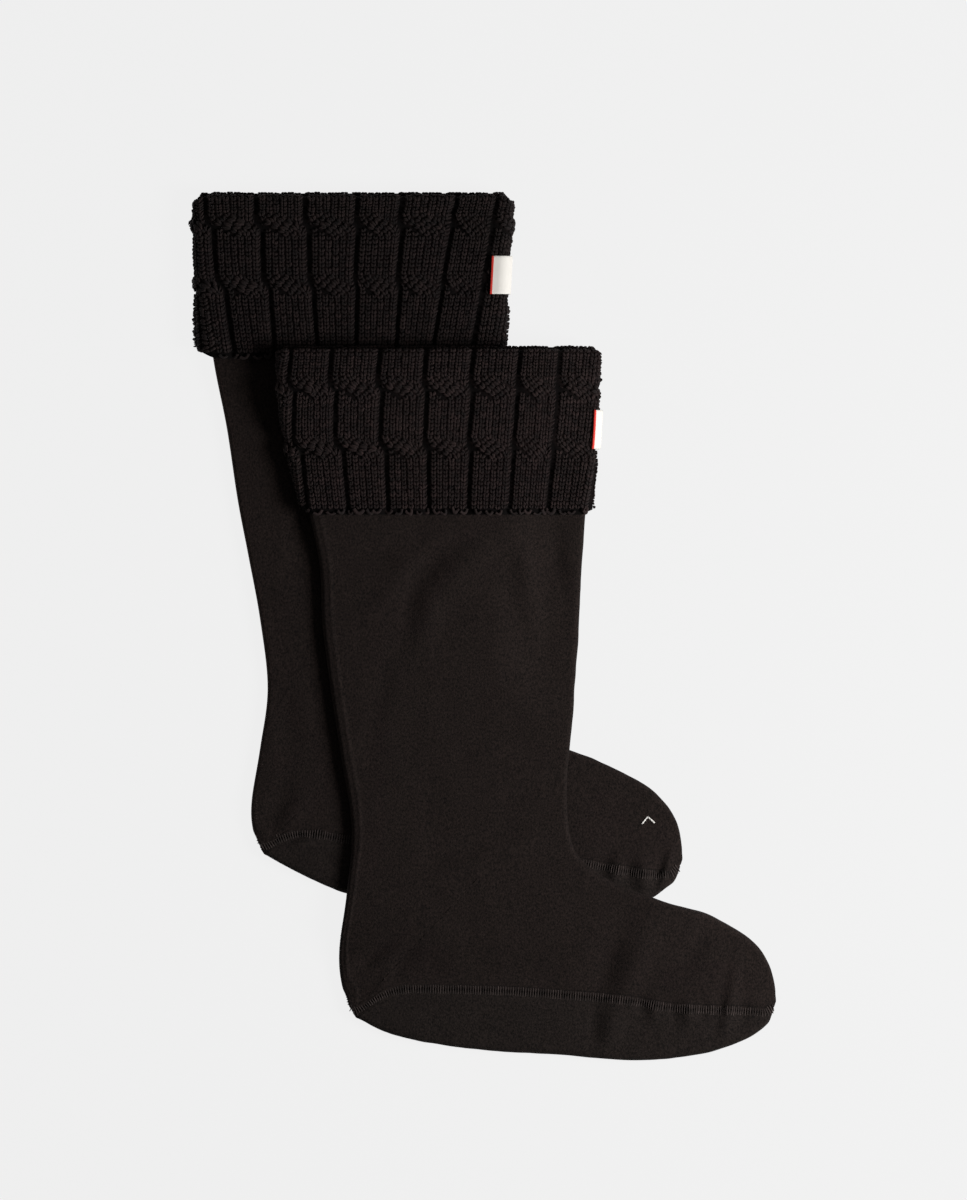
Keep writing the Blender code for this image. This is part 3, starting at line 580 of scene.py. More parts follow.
def soft_max(a, b):
    """The larger of two heights, with a soft change from one to the other, and none on the bare floor."""
    overlap = np.maximum(DRAPE_BLEND - np.abs(a - b), 0.0) / DRAPE_BLEND
    return np.maximum(a, b) + overlap * overlap * DRAPE_BLEND / 4 * np.minimum(np.minimum(a, b), 1.0)


def flat_floor(x, _y):
    """The under sock lies on the surface."""
    return np.zeros_like(x)


def floor_over(sections, lifted):
    """The floor of a sock that lies across another: the height of what is under it.

    The cuff is also lifted where its own label is folded under it.
    """
    body = [section_at(sections, row) for row in range(LAST_ROW + 1)]
    body_outline = [(s.sole_x, s.sole_y) for s in body] + [(s.fold_x, s.fold_y) for s in reversed(body)]
    reach = CUFF_OUTSIDE - CUFF_HALF + STRAND_HEIGHT
    cuff = body[MOUTH_ROW : HEM_ROW + 1]
    cuff_outline = [(s.seam_x - reach, s.seam_y) for s in cuff]
    cuff_outline += [(s.fold_x + reach, s.fold_y) for s in reversed(cuff)]
    body_height = 2 * body[LEG_ROW].half + REST_CLEARANCE
    cuff_height = 2 * CUFF_OUTSIDE + STRAND_HEIGHT + CROSSING_EXTRA + REST_CLEARANCE
    label_x = lifted[MOUTH_ROW + 1].fold_x
    label_y = lifted[MOUTH_ROW].fold_y - LABEL_TOP - LABEL_HEIGHT / 2

    def height(x, y):
        over_body = fall(body_height, outline_distance(x, y, body_outline))
        over_cuff = fall(cuff_height, outline_distance(x, y, cuff_outline))
        over_label = LABEL_LIFT * bell(np.hypot(x - label_x, y - label_y), LABEL_LIFT_REACH)
        return soft_max(over_body, over_cuff) + over_label

    return height


def folds_at(creases, x, y):
    """The height of the soft folds at points."""
    height = np.zeros_like(x)
    for crease in creases:
        turn = math.radians(crease.angle)
        along = (x - crease.x) * math.cos(turn) + (y - crease.y) * math.sin(turn)
        across = (y - crease.y) * math.cos(turn) - (x - crease.x) * math.sin(turn)
        height += crease.height * bell(np.hypot(2 * along / crease.length, 2 * across / crease.width), 1)
    return height


def lift_at(row):
    """How far the fleece is lifted by the cuff's underside, fading below the hem."""
    return float(CUFF_LIFT * (1 - smoothstep(HEM_ROW, LEG_ROW, row)))


def fleece_top(sock):
    """The row number where the fleece ends inside the cuff, well below where the cuff starts to fold over."""
    first, second = sock.sections[MOUTH_ROW], sock.sections[MOUTH_ROW + 1]
    fold_row = FOLD_RADIUS / (first.fold_y - second.fold_y)
    return HEM_ROW + (fold_row - HEM_ROW) * FLEECE_ROWS_IN_CUFF / HIDDEN_ROWS_IN_CUFF


# ---- Meshes ----


def plain_mesh(name, points, faces, attributes=()):
    """A mesh from points in millimetres."""
    mesh = bpy.data.meshes.new(name)
    mesh.from_pydata((np.asarray(points).reshape(-1, 3) * MM).tolist(), [], faces)
    for key, kind, values in attributes:
        layer = mesh.attributes.new(key, kind, "POINT")
        layer.data.foreach_set("vector" if kind == VECTOR else "value", np.ravel(values).astype("f"))
    return mesh


def grid_faces(rows, columns, start=0, closed=False):
    """Four-sided faces between the points of a grid, numbered row by row."""
    faces = []
    for row in range(rows - 1):
        for column in range(columns if closed else columns - 1):
            a = start + row * columns + column
            b = start + row * columns + (column + 1) % columns
            faces.append((a, b, b + columns, a + columns))
    return faces


def rim_faces(fine, coarse, skip):
    """The edge face of a wall, between its finer side and its coarser side."""
    faces = []
    for k in range(len(coarse) - 1):
        ends = (coarse[k], coarse[k + 1])
        chain = fine[k * skip : (k + 1) * skip + 1]
        half = len(chain) // 2
        for step in range(len(chain) - 1):
            faces.append((chain[step], chain[step + 1], ends[0] if step < half else ends[1]))
        faces.append((chain[half], ends[1], ends[0]))
    return faces


def wall_mesh(name, outer, inner, skip, closed=False, attributes=()):
    """A closed wall between two grids of points. The inner grid has every skip-th point of the outer one.

    Attributes are grids of values over the outer points. The inner points take their nearest values.
    """
    rows, columns = outer.shape[:2]
    inner_rows, inner_columns = inner.shape[:2]
    start = rows * columns
    faces = grid_faces(rows, columns, 0, closed) + grid_faces(inner_rows, inner_columns, start, closed)
    numbers = np.arange(start).reshape(rows, columns)
    inner_numbers = start + np.arange(inner_rows * inner_columns).reshape(inner_rows, inner_columns)
    if closed:
        numbers, inner_numbers = (np.hstack((grid, grid[:, :1])) for grid in (numbers, inner_numbers))
    row_skip = (rows - 1) // (inner_rows - 1)
    for end in (0, -1):
        faces += rim_faces(numbers[end].tolist(), inner_numbers[end].tolist(), skip)
        if not closed:
            faces += rim_faces(numbers[:, end].tolist(), inner_numbers[:, end].tolist(), row_skip)
    spread = []
    for key, kind, values in attributes:
        kept = values[::row_skip, ::skip][:inner_rows, :inner_columns]
        width = 3 if kind == VECTOR else 1
        spread.append((key, kind, np.vstack((values.reshape(-1, width), kept.reshape(-1, width)))))
    mesh = plain_mesh(name, np.vstack((outer.reshape(-1, 3), inner.reshape(-1, 3))), faces, spread)
    bm = bmesh.new()
    bm.from_mesh(mesh)
    bmesh.ops.recalc_face_normals(bm, faces=bm.faces[:])
    bm.to_mesh(mesh)
    bm.free()
    return mesh


def add_piece(name, mesh, material, nodes=()):
    """Puts a finished mesh in the scene as a piece of the object, in place of the frame's nodes."""
    mesh.name = name
    mesh.materials.clear()
    mesh.materials.append(material)
    mesh.shade_smooth()
    piece = bpy.data.objects.new(name, mesh)
    collection().objects.link(piece)
    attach(piece, BODY)
    if nodes:
        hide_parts(*nodes)
    return piece


def collection():
    """The collection that holds the socks."""
    found = bpy.data.collections.get(COLLECTION)
    if not found:
        found = bpy.data.collections.new(COLLECTION)
        bpy.context.scene.collection.children.link(found)
    return found


# ---- Fleece ----


def rim_facts(section):
    """The rounded bottom edge of a row: its middle, the way in, and the seam's place along the cloth."""
    forward = unit(section.fold_x - section.seam_x, section.fold_y - section.seam_y)
    rise_x, rise_y = section.seam_x - section.sole_x, section.seam_y - section.sole_y
    inward = unit(rise_x + forward[0], rise_y + forward[1])
    width, half = math.hypot(rise_x, rise_y), section.half
    arc = half * math.acos(1 - width / half) if width < half else half * math.pi / 2 + width - half
    return shifted((section.sole_x, section.sole_y), inward, half), inward, forward, arc


def edge_ray(section, lift, arc, side):
    """The ray at an arc length from the bottom edge, on the near side with side 1 or the far side with -1."""
    centre, inward, forward, seam_arc = rim_facts(section)
    half = section.half
    quarter = half * math.pi / 2
    if arc < quarter:
        level, up = math.cos(arc / half), math.sin(arc / half)
        return Ray(*centre, -inward[0] * level, -inward[1] * level, side * up, half, lift)
    if seam_arc > quarter:
        flat = shifted(centre, inward, min(arc, seam_arc) - quarter)
        flat = shifted(flat, forward, max(arc - seam_arc, 0.0))
    else:
        flat = shifted(centre, forward, arc - quarter)
    return Ray(*flat, 0.0, 0.0, float(side), half, lift)


def near_shares(width):
    """Steps across the near side of the leg panel, small beside the seam."""
    zone = SEAM_ZONE / width
    even = steps_between(zone, 1, LEG_NEAR_STEPS - SEAM_ZONE_STEPS)
    return steps_between(0, zone, SEAM_ZONE_STEPS) + even[1:]


def leg_row(section, lift):
    """The rays of the leg panel across one row: near edge, front fold, far edge."""
    _, _, forward, seam_arc = rim_facts(section)
    half = section.half
    start = seam_arc + SEWN_GAP / 2
    arcs = steps_between(start, start + half * math.pi / 2, LEG_EDGE_STEPS)
    near, far = ([edge_ray(section, lift, arc, side) for arc in arcs] for side in (1, -1))
    back = (near[-1].x, near[-1].y)
    front = shifted((section.fold_x, section.fold_y), forward, -half)
    span = (front[0] - back[0], front[1] - back[1])

    def flat_rays(shares, up):
        return [Ray(*shifted(back, span, share), 0.0, 0.0, up, half, lift) for share in shares]

    rays = near + flat_rays(near_shares(math.dist(back, front))[1:-1], 1.0)
    for angle in steps_between(math.pi / 2, -math.pi / 2, LEG_ROUND_STEPS):
        level, up = math.cos(angle), math.sin(angle)
        rays.append(Ray(*front, forward[0] * level, forward[1] * level, up, half, lift))
    return rays + flat_rays(steps_between(1, 0, LEG_FAR_STEPS)[1:-1], -1.0) + far[::-1]


def sole_row(section, lift):
    """The rays of the sole across one row: near seam, bottom edge, far seam."""
    seam_arc = rim_facts(section)[-1]
    arcs = steps_between(max(seam_arc - SEWN_GAP / 2, 0.05), 0.0, SOLE_STEPS)
    near, far = ([edge_ray(section, lift, arc, side) for arc in arcs] for side in (1, -1))
    return near + far[-2::-1]


def place(sock, rays, radius):
    """Points of the fleece at a radius on an array of rays."""
    x, y, out_x, out_y, up, half, lift = np.moveaxis(rays, -1, 0)
    height = half + lift + radius * up + sock.floor(x, y)
    shown = up * (1 - lift / CUFF_LIFT)
    height += np.where(up > 0, folds_at(sock.creases, x, y) * shown, 0.0)
    height += np.where(up < 0, folds_at(sock.hidden_creases, x, y) * -shown, 0.0)
    return np.stack((x + radius * out_x, y + radius * out_y, height), axis=-1)


def edge_distance(points):
    """How far each point lies along its row from the nearer end of the row."""
    steps = np.linalg.norm(np.diff(points, axis=1), axis=2)
    from_start = np.hstack((np.zeros((len(points), 1)), np.cumsum(steps, axis=1)))
    return np.minimum(from_start, from_start[:, -1:] - from_start)


def slack_at(points, height):
    """Small uneven waves of loose cloth."""
    waves = [sum(share * noise.noise(Vector(p) / size) for size, share in SLACK_WAVES) for p in points.reshape(-1, 3)]
    return height * np.array(waves).reshape(points.shape[:2])


def fleece_rows(sock):
    """Row numbers of the leg panel, from inside the cuff down to the toe."""
    start = fleece_top(sock)
    rows = [start]
    for end, steps in FLEECE_STRETCHES:
        rows += steps_between(start, end, steps)[1:]
        start = end
    return rows


def fleece_mesh(name, sock, rays, settings):
    """A wall of fleece on rows of rays, drawn in along its seams."""
    rays = np.array(rays)
    half = rays[..., HALF]
    plain = place(sock, rays, half)
    distance = edge_distance(plain)
    dip = settings.seam_dip / MM
    flat_seam = smoothstep(*FLAT_SEAM, np.abs(rays[:, :1, UP]))
    relief = -dip * (EDGE_DIP + (1 - EDGE_DIP) * flat_seam) * bell(distance, DIP_WIDTH)
    relief += flat_seam * SEAM_RIDGE * dip * bell(distance - RIDGE_PLACE, RIDGE_WIDTH)
    relief += (1 - flat_seam) * sock.seam_ridge * bell(distance - EDGE_RIDGE_PLACE, EDGE_RIDGE_WIDTH)
    relief += slack_at(plain, settings.slack / MM) * smoothstep(*SLACK_FADE, distance)
    relief = np.where(rays[..., UP] < 0, np.minimum(relief, 0.0) * UNDERSIDE_RELIEF, relief)
    relief *= smoothstep(*TOE_FADE, half)
    outer = place(sock, rays, half + relief)
    kept = rays[::FLEECE_SKIP, ::FLEECE_SKIP]
    inner = place(sock, kept, np.maximum(kept[..., HALF] - settings.thickness / MM, LEAST_HOLLOW))
    # How far the outline faces away from the lamp, which stands towards +X: the fleece's painted rim light is laid
    # there
    rim = np.maximum(-rays[..., OUT_X], 0.0)
    return wall_mesh(name, outer, inner, FLEECE_SKIP, attributes=[("seam", FLOAT, distance), ("rim", FLOAT, rim)])


def leg_rays(sock):
    return [leg_row(section_at(sock.sections, row), lift_at(row)) for row in fleece_rows(sock)]


def sole_rays(sock):
    """Rows of the sole, from where it is wide enough at the heel to where it runs out at the toe."""
    sections = [section_at(sock.sections, row) for row in fleece_rows(sock) if CORNER_ROW <= row <= SOLE_END_ROW]
    rays = [sole_row(section, 0.0) for section in sections if rim_facts(section)[-1] > LEAST_SOLE]
    return rays if len(rays) % 2 else rays[:-1]


# ---- Cuff ----


def past_crossing(sock, below):
    """How far below the nearest crossing of the strands a place lies."""
    nearest = np.clip(np.round((below - sock.first_crossing) / CABLE_SPACING), 0, CROSSINGS - 1)
    return below - sock.first_crossing - nearest * CABLE_SPACING


def ring_place(sock, cable, below):
    """Where places in the cable pattern lie round the cuff, in cables from the back of its near side."""
    down = below / (sock.sections[MOUTH_ROW].fold_y - sock.sections[HEM_ROW].fold_y)
    past = past_crossing(sock, below)
    jog = smoothstep(-KINK_LENGTH / 2, KINK_LENGTH / 2, past) - 0.5 - past / CABLE_SPACING
    numbers, at_mouth, at_hem, kinks = zip(*sock.grooves)
    place_now = cable + sock.first_groove + sock.groove_lean * down
    for values, share in ((at_mouth, 1 - down), (at_hem, down), (kinks, jog)):
        place_now += np.interp(cable, numbers, values, period=CABLES_ROUND) * share
    return np.mod(place_now, CABLES_ROUND)


def cuff_ray(sock, ring, y):
    """The centre of the ray at a place round the cuff and a height up the leg, and the way that it points."""
    rows = steps_between(MOUTH_ROW, LEG_ROW, CUFF_TABLE_STEPS)
    seams, _, folds, heights = np.array([section_at(sock.sections, row) for row in rows])[::-1, :4].T
    seam_x, fold_x = np.interp(y, heights, seams), np.interp(y, heights, folds)
    near = sock.cables_near
    far = CABLES_ROUND - near - 2 * EDGE_CABLES
    front = np.clip((ring - near) / EDGE_CABLES, 0, 1)
    under = np.clip((ring - near - EDGE_CABLES) / far, 0, 1)
    back = np.clip((ring - near - EDGE_CABLES - far) / EDGE_CABLES, 0, 1)
    along = np.clip(ring / near, 0, 1) - under
    angle = math.pi * (0.5 - front - back)
    x = seam_x + CUFF_HALF + along * (fold_x - seam_x - 2 * CUFF_HALF)
    return x, np.cos(angle), np.sin(angle)


def cuff_point(sock, ring, y, radius, rise):
    """Points of the cuff. Its mouth and hem are rounded at the edges, and the near lip lies lower."""
    x, out_x, up = cuff_ray(sock, ring, y)
    mouth, middle, hem = sock.sections[MOUTH_ROW : HEM_ROW + 1]
    level = out_x * out_x
    at_mouth = smoothstep(mouth.fold_y - CORNER_FADE, mouth.fold_y - FOLD_RADIUS, y)
    at_hem = 1 - smoothstep(hem.fold_y, hem.fold_y + CORNER_FADE, y)
    rise = rise + sock.corner * level * (at_hem - at_mouth) - NEAR_LIP_DROP * at_mouth * np.maximum(up, 0)
    back_lean = (middle.seam_x - hem.seam_x) / (middle.seam_y - hem.seam_y)
    front_lean = (middle.fold_x - hem.fold_x) / (middle.fold_y - hem.fold_y)
    lean = np.where(out_x < -LEVEL, back_lean, np.where(out_x > LEVEL, front_lean, 0.0))
    flare = sock.hem_flare * level * (1 - smoothstep(hem.fold_y, hem.fold_y + FLARE_REACH, y))
    flare = np.where((out_x < 0) & (radius > CUFF_HALF), flare, 0.0)
    height = CUFF_HALF + CUFF_LIFT + radius * up + sock.floor(x, y)
    return np.stack((x + radius * out_x + rise * lean - flare, y + rise, height), axis=-1)


def strand_paths(sock, below):
    """Where the front strand lies from a cable's middle, the back strand's side, and how near a crossing is."""
    past = past_crossing(sock, below)
    crossing = bell(2 * past, CROSSING_LENGTH)
    straight = np.clip(past / LOOSE_CROSSING, -0.5, 0.5) * 2
    soft = 2 * smoothstep(-LOOSE_CROSSING / 2, LOOSE_CROSSING / 2, past) - 1
    back = np.where(past < 0, STRAND_OFFSET, -STRAND_OFFSET)
    return STRAND_OFFSET * (straight + soft) / 2, back, crossing


def dome(offset, reach, power):
    return np.sqrt(np.maximum(1 - np.abs(offset / reach) ** power, 0.0))


def crease_beside(front, crossing):
    """Where a crease lies along the lower edge of the strand in front, from a cable's middle, darkened by painted
    shadow.
    """
    return front - STRAND_REACH * (1 + CROSSING_SPREAD * crossing) - CREASE_WIDTH


def strand_height(in_cable, front, crossing, strand):
    """How far the knit stands out at a place in a cable: on one strand, or on the surface of all."""
    block = STRAND_HEIGHT * dome(in_cable, 0.5, BLOCK_POWER) * (1 - BLOCK_DROP * crossing)
    block -= GROOVE_DEPTH * bell(0.5 - np.abs(in_cable), GROOVE_REACH)
    over_reach = STRAND_REACH * (1 + CROSSING_SPREAD * crossing)
    over = (STRAND_HEIGHT + CROSSING_EXTRA * crossing) * dome(in_cable - front, over_reach, 2)
    under = (STRAND_HEIGHT - TUCK_DROP * crossing) * dome(np.abs(in_cable) - STRAND_OFFSET, STRAND_REACH, 2)
    if strand == FRONT:
        return np.maximum(over, block)
    if strand == BACK:
        return np.maximum(under, block)
    return np.maximum(np.maximum(over, under), block)


def under_label(sock, x, below):
    """1 under the label and 0 away from it."""
    above, beneath = LABEL_TOP - below, below - LABEL_TOP - LABEL_HEIGHT
    behind = sock.sections[MOUTH_ROW + 1].fold_x - LABEL_LENGTH - x
    beyond = np.maximum(np.maximum(above, beneath), behind)
    return 1 - smoothstep(LABEL_MARGIN, LABEL_MARGIN + LABEL_FADE, beyond)


def from_middle(cable):
    """How far places lie from the middle of their cable."""
    return cable - np.floor(cable) - 0.5


def knit_fold(sock, profile):
    """How high up the leg places on the knit lie, and how far they have turned over the fold at the mouth."""
    y = sock.sections[MOUTH_ROW].fold_y - FOLD_RADIUS - np.maximum(profile, 0)
    return y - np.maximum(-profile - FOLD_ARC, 0), np.clip(-profile / FOLD_ARC, 0, 1) * math.pi


def knit_point(sock, cable, profile, strand, proud):
    """Points of the knit at places in the cable pattern.

    The profile is a length along the knit: 0 where the fold at the mouth starts, more down the outside and
    less over the fold. proud is how far the points stand out from the knit's plain surface.
    """
    cable, profile = np.broadcast_arrays(np.asarray(cable, float), np.asarray(profile, float))
    below = profile + FOLD_RADIUS
    ring = ring_place(sock, cable, below)
    y, turn = knit_fold(sock, profile)
    x, _, up = cuff_ray(sock, ring, y)
    front, _, crossing = strand_paths(sock, below)
    relief = strand_height(from_middle(cable), front, crossing, strand)
    relief += (np.minimum(relief, LABEL_ROOM) - relief) * under_label(sock, x, below)
    relief = relief * smoothstep(*UNDERSIDE_FADE, up) * np.maximum(np.cos(turn), 0)
    reach = FOLD_RADIUS + relief + proud
    middle = (CUFF_OUTSIDE + MOUTH_HALF) / 2
    return cuff_point(sock, ring, y, middle + reach * np.cos(turn), reach * np.sin(turn))


def inner_end(sock):
    """How far the cuff's inner layer reaches down inside, along the knit from the fold."""
    top = section_at(sock.sections, fleece_top(sock)).fold_y
    return sock.sections[MOUTH_ROW].fold_y - FOLD_RADIUS - top - SEAM_GAP


def hem_profile(sock):
    """The length of the knit from the fold to the hem."""
    return sock.sections[MOUTH_ROW].fold_y - sock.sections[HEM_ROW].fold_y - FOLD_RADIUS


def relief_for_painted_shade(sock, cable, profile):
    """How raised the backing counts for its painted shade: dark in the grooves, at the hem and beside a crossing,
    where the strand in front would cast its shadow.
    """
    front, _, crossing = strand_paths(sock, profile + FOLD_RADIUS)
    in_cable = from_middle(cable)
    past = past_crossing(sock, profile + FOLD_RADIUS)
    crease = bell(in_cable - crease_beside(front, crossing), CREASE_SHADE)
    crease *= smoothstep(-TUCK, 0.0, past) * (1 - smoothstep(LOOSE_CROSSING / 2, LOOSE_CROSSING, past))
    relief = strand_height(in_cable, front, crossing, SURFACE)
    return relief * smoothstep(*HEM_FADE, hem_profile(sock) - profile) * (1 - crease)


def cuff_mesh(name, sock):
    """The backing of the cable knit, with its hidden side and its inner layer."""
    columns = np.arange(CABLES_ROUND * KNIT_COLUMNS_IN_CABLE) / KNIT_COLUMNS_IN_CABLE
    profiles = steps_between(hem_profile(sock) - HEM_INSET, 0, KNIT_ROWS_DOWN)
    profiles += steps_between(0, -FOLD_ARC, KNIT_ROWS_OVER)[1:]
    profiles += steps_between(-FOLD_ARC, -FOLD_ARC - inner_end(sock), KNIT_ROWS_INSIDE)[1:]
    cable, profile = np.meshgrid(columns, profiles)
    proud = np.where(profile > -FOLD_ARC, -STITCH_ROOM, -INSIDE_ROOM)
    outer = knit_point(sock, cable, profile, SURFACE, proud)
    kept_cable, kept_profile = cable[::KNIT_SKIP, ::KNIT_SKIP], profile[::KNIT_SKIP, ::KNIT_SKIP]
    ring = ring_place(sock, kept_cable, kept_profile + FOLD_RADIUS)
    y, turn = knit_fold(sock, kept_profile)
    radius = CUFF_HALF + SEAM_GAP / 2 * (1 + np.cos(turn))
    inner = cuff_point(sock, ring, y, radius, SEAM_GAP / 2 * np.sin(turn))
    # The relief attribute tells the backing's material where to paint its shade
    return wall_mesh(name, outer, inner, KNIT_SKIP, True, [("relief", FLOAT, relief_for_painted_shade(sock, cable, profile))])


# ---- Nodes ----


def add_node(tree, kind, inputs=None, **settings):
    """Adds a node with its settings. An input is a value, an output, or a node whose first output is meant."""
    node = tree.nodes.new(kind)
    for key, value in settings.items():
        setattr(node, key, value)
    for key, value in (inputs or {}).items():
        if isinstance(value, bpy.types.Node):
            value = value.outputs[0]
        if isinstance(value, bpy.types.NodeSocket):
            tree.links.new(value, node.inputs[key])
        else:
            node.inputs[key].default_value = value
    return node


# The float sockets of a Random Value node, and the colour sockets of a Mix node
LEAST, MOST, RANDOM = 2, 3, 1
FACTOR, FIRST, SECOND, MIXED = 0, 6, 7, 2


def start_tree(name, sizes):
    """A geometry tree with named inputs for its sizes, a way to add its nodes, and the node that gives the sizes."""
    tree = bpy.data.node_groups.new(name, "GeometryNodeTree")
    tree.interface.new_socket("Geometry", in_out="OUTPUT", socket_type="NodeSocketGeometry")
    kinds = {"Geometry": "Geometry", **dict.fromkeys(sizes, "Float"), "Unevenness": "Float", "Seed": "Int"}
    for key, kind in {**kinds, "Material": "Material"}.items():
        tree.interface.new_socket(key, in_out="INPUT", socket_type=f"NodeSocket{kind}")
    add = partial(add_node, tree)
    return tree, add, add("NodeGroupInput").outputs


def finish_tree(tree, group, shape):
    """Lays a shape on each point, turned and sized as the point says and a little uneven, as one mesh."""
    add = partial(add_node, tree)
    out, along, size = (
        add("GeometryNodeInputNamedAttribute", {"Name": key}, data_type=VECTOR) for key in ("out", "along", "size")
    )
    axes = {"Primary Axis": out, "Secondary Axis": along}
    turn = add("FunctionNodeAxesToRotation", axes, primary_axis="Z", secondary_axis="Y")
    low = add("ShaderNodeMath", {0: 1.0, 1: group["Unevenness"]}, operation="SUBTRACT")
    high = add("ShaderNodeMath", {0: 1.0, 1: group["Unevenness"]}, operation="ADD")
    uneven = add("FunctionNodeRandomValue", {LEAST: low, MOST: high, "Seed": group["Seed"]}, data_type=FLOAT)
    scale = add("ShaderNodeVectorMath", {0: size, "Scale": uneven.outputs[RANDOM]}, operation="SCALE")
    parts = {"Points": group["Geometry"], "Instance": shape, "Rotation": turn, "Scale": scale}
    laid = add("GeometryNodeInstanceOnPoints", parts)
    tone = add("FunctionNodeRandomValue", {"Seed": group["Seed"]}, data_type=FLOAT)
    kept = {"Geometry": laid, "Name": "tone", "Value": tone.outputs[RANDOM]}
    stored = add("GeometryNodeStoreNamedAttribute", kept, data_type=FLOAT, domain="INSTANCE")
    real = add("GeometryNodeRealizeInstances", {"Geometry": stored})
    coloured = add("GeometryNodeSetMaterial", {"Geometry": real, "Material": group["Material"]})
    add("NodeGroupOutput", {0: coloured})
    return tree


LOBE_SIZES = ("Leg width", "Leg length", "Leg height")


def yarn_lobe(add, group, sides, rings):
    """A short stretch of yarn along Y whose two ends dip, with its own coordinates kept for the twist."""
    ball = add("GeometryNodeMeshUVSphere", {"Segments": sides, "Rings": rings, "Radius": 0.5})
    turned = add("GeometryNodeTransform", {"Geometry": ball, "Rotation": (math.pi / 2, 0, 0)})
    position = add("GeometryNodeInputPosition")
    own = {"Geometry": turned, "Name": "yarn", "Value": position}
    kept = add("GeometryNodeStoreNamedAttribute", own, data_type=VECTOR, domain="POINT")
    part = add("ShaderNodeSeparateXYZ", {0: position}).outputs
    squared = add("ShaderNodeMath", {0: part["Y"], 1: part["Y"]}, operation="MULTIPLY")
    dipped = add("ShaderNodeMath", {0: part["Z"], 1: squared}, operation="SUBTRACT")
    sized = {
        axis: add("ShaderNodeMath", {0: value, 1: group[size]}, operation="MULTIPLY")
        for axis, value, size in zip("XYZ", (part["X"], part["Y"], dipped), LOBE_SIZES)
    }
    return add("GeometryNodeSetPosition", {"Geometry": kept, "Position": add("ShaderNodeCombineXYZ", sized)})


def stitch_tree(name, sides, rings):
    """A knit stitch on each point: two legs of yarn that lean apart like a V."""
    tree, add, group = start_tree(name, (*LOBE_SIZES, "Lean", "Spread", "Pitch"))
    lobe = yarn_lobe(add, group, sides, rings)
    joined = add("GeometryNodeJoinGeometry")
    for side in (-1.0, 1.0):
        lean = add("ShaderNodeMath", {0: group["Lean"], 1: -side}, operation="MULTIPLY")
        away = add("ShaderNodeMath", {0: group["Spread"], 1: side}, operation="MULTIPLY")
        turn = add("ShaderNodeCombineXYZ", {"X": group["Pitch"], "Z": lean})
        move = add("ShaderNodeCombineXYZ", {"X": away})
        stitch_leg = add("GeometryNodeTransform", {"Geometry": lobe, "Translation": move, "Rotation": turn})
        tree.links.new(stitch_leg.outputs["Geometry"], joined.inputs[0])
    return finish_tree(tree, group, joined)


def lobe_tree(name, sides, rings):
    """One short stretch of yarn on each point."""
    tree, add, group = start_tree(name, LOBE_SIZES)
    return finish_tree(tree, group, yarn_lobe(add, group, sides, rings))


def bar_tree(name):
    """An arched bar of thread or yarn on each point, across the way that the point runs."""
    tree, add, group = start_tree(name, ("Length", "Thickness", "Drop"))
    low = add("ShaderNodeMath", {0: group["Drop"], 1: -1.0}, operation="MULTIPLY")
    ends = []
    for side in (-0.5, 0.5):
        away = add("ShaderNodeMath", {0: group["Length"], 1: side}, operation="MULTIPLY")
        ends.append(add("ShaderNodeCombineXYZ", {"X": away, "Z": low}))
    top = add("ShaderNodeCombineXYZ", {"Z": group["Drop"]})
    path = {"Resolution": 6, "Start": ends[0], "Middle": top, "End": ends[1]}
    arch = add("GeometryNodeCurveQuadraticBezier", path)
    radius = add("ShaderNodeMath", {0: group["Thickness"], 1: 0.5}, operation="MULTIPLY")
    ring = add("GeometryNodeCurvePrimitiveCircle", {"Resolution": 5, "Radius": radius}, mode="RADIUS")
    tube = add("GeometryNodeCurveToMesh", {"Curve": arch, "Profile Curve": ring, "Fill Caps": True})
    return finish_tree(tree, group, tube)


def grow(name, tree, cloud, values, material):
    """Runs a tree on a cloud of points and keeps what it makes as a piece."""
    points, *ways = cloud
    attributes = [(key, VECTOR, way) for key, way in zip(("along", "out", "size"), ways)]
    holder = bpy.data.objects.new(name + " points", plain_mesh(name + " points", points, [], attributes))
    collection().objects.link(holder)
    modifier = holder.modifiers.new(tree.name, "NODES")
    modifier.node_group = tree
    values = {**values, "Material": material}
    for socket in tree.interface.items_tree:
        if socket.in_out == "INPUT" and socket.name in values:
            modifier[socket.identifier] = values[socket.name]
    graph = bpy.context.evaluated_depsgraph_get()
    mesh = bpy.data.meshes.new_from_object(holder.evaluated_get(graph), depsgraph=graph)
    holder.modifiers.remove(modifier)
    bpy.data.objects.remove(holder)
    if not mesh.polygons:
        raise RuntimeError(f"{name} came out empty")
    # Yarn and thread that lie on the surface are pressed flat on it
    places = np.empty(len(mesh.vertices) * 3, "f")
    mesh.vertices.foreach_get("co", places)
    places[2::3] = np.maximum(places[2::3], LEAST_HEIGHT * MM)
    mesh.vertices.foreach_set("co", places)
    return add_piece(name, mesh, material)


# ---- Stitches ----


def normalised(vectors):
    return vectors / np.maximum(np.linalg.norm(vectors, axis=-1, keepdims=True), 1e-9)


def wale_path(sock, wale, profile):
    """Where a column of stitches runs, from the start of its cable."""
    if wale.kind == SURFACE:
        return np.full_like(profile, 1 - FLANK_INSET)
    front, back, crossing = strand_paths(sock, profile + FOLD_RADIUS)
    if wale.kind == FRONT:
        return 0.5 + front + wale.offset * (1 + CROSSING_SPREAD * crossing)
    return 0.5 + back * wale.side + wale.offset


def wale_shows(sock, wale, profile):
    """Where a column of stitches isn't hidden by the strand in front."""
    if wale.kind != BACK:
        return np.full(profile.shape, True)
    past = past_crossing(sock, profile + FOLD_RADIUS)
    front, _, crossing = strand_paths(sock, profile + FOLD_RADIUS)
    edge = 0.5 + crease_beside(front, crossing)
    clear = (wale_path(sock, wale, profile) < edge) | (past < 0) | (past > LOOSE_CROSSING / 2)
    return clear & (np.abs(past) < TUCK) if wale.side < 0 else clear


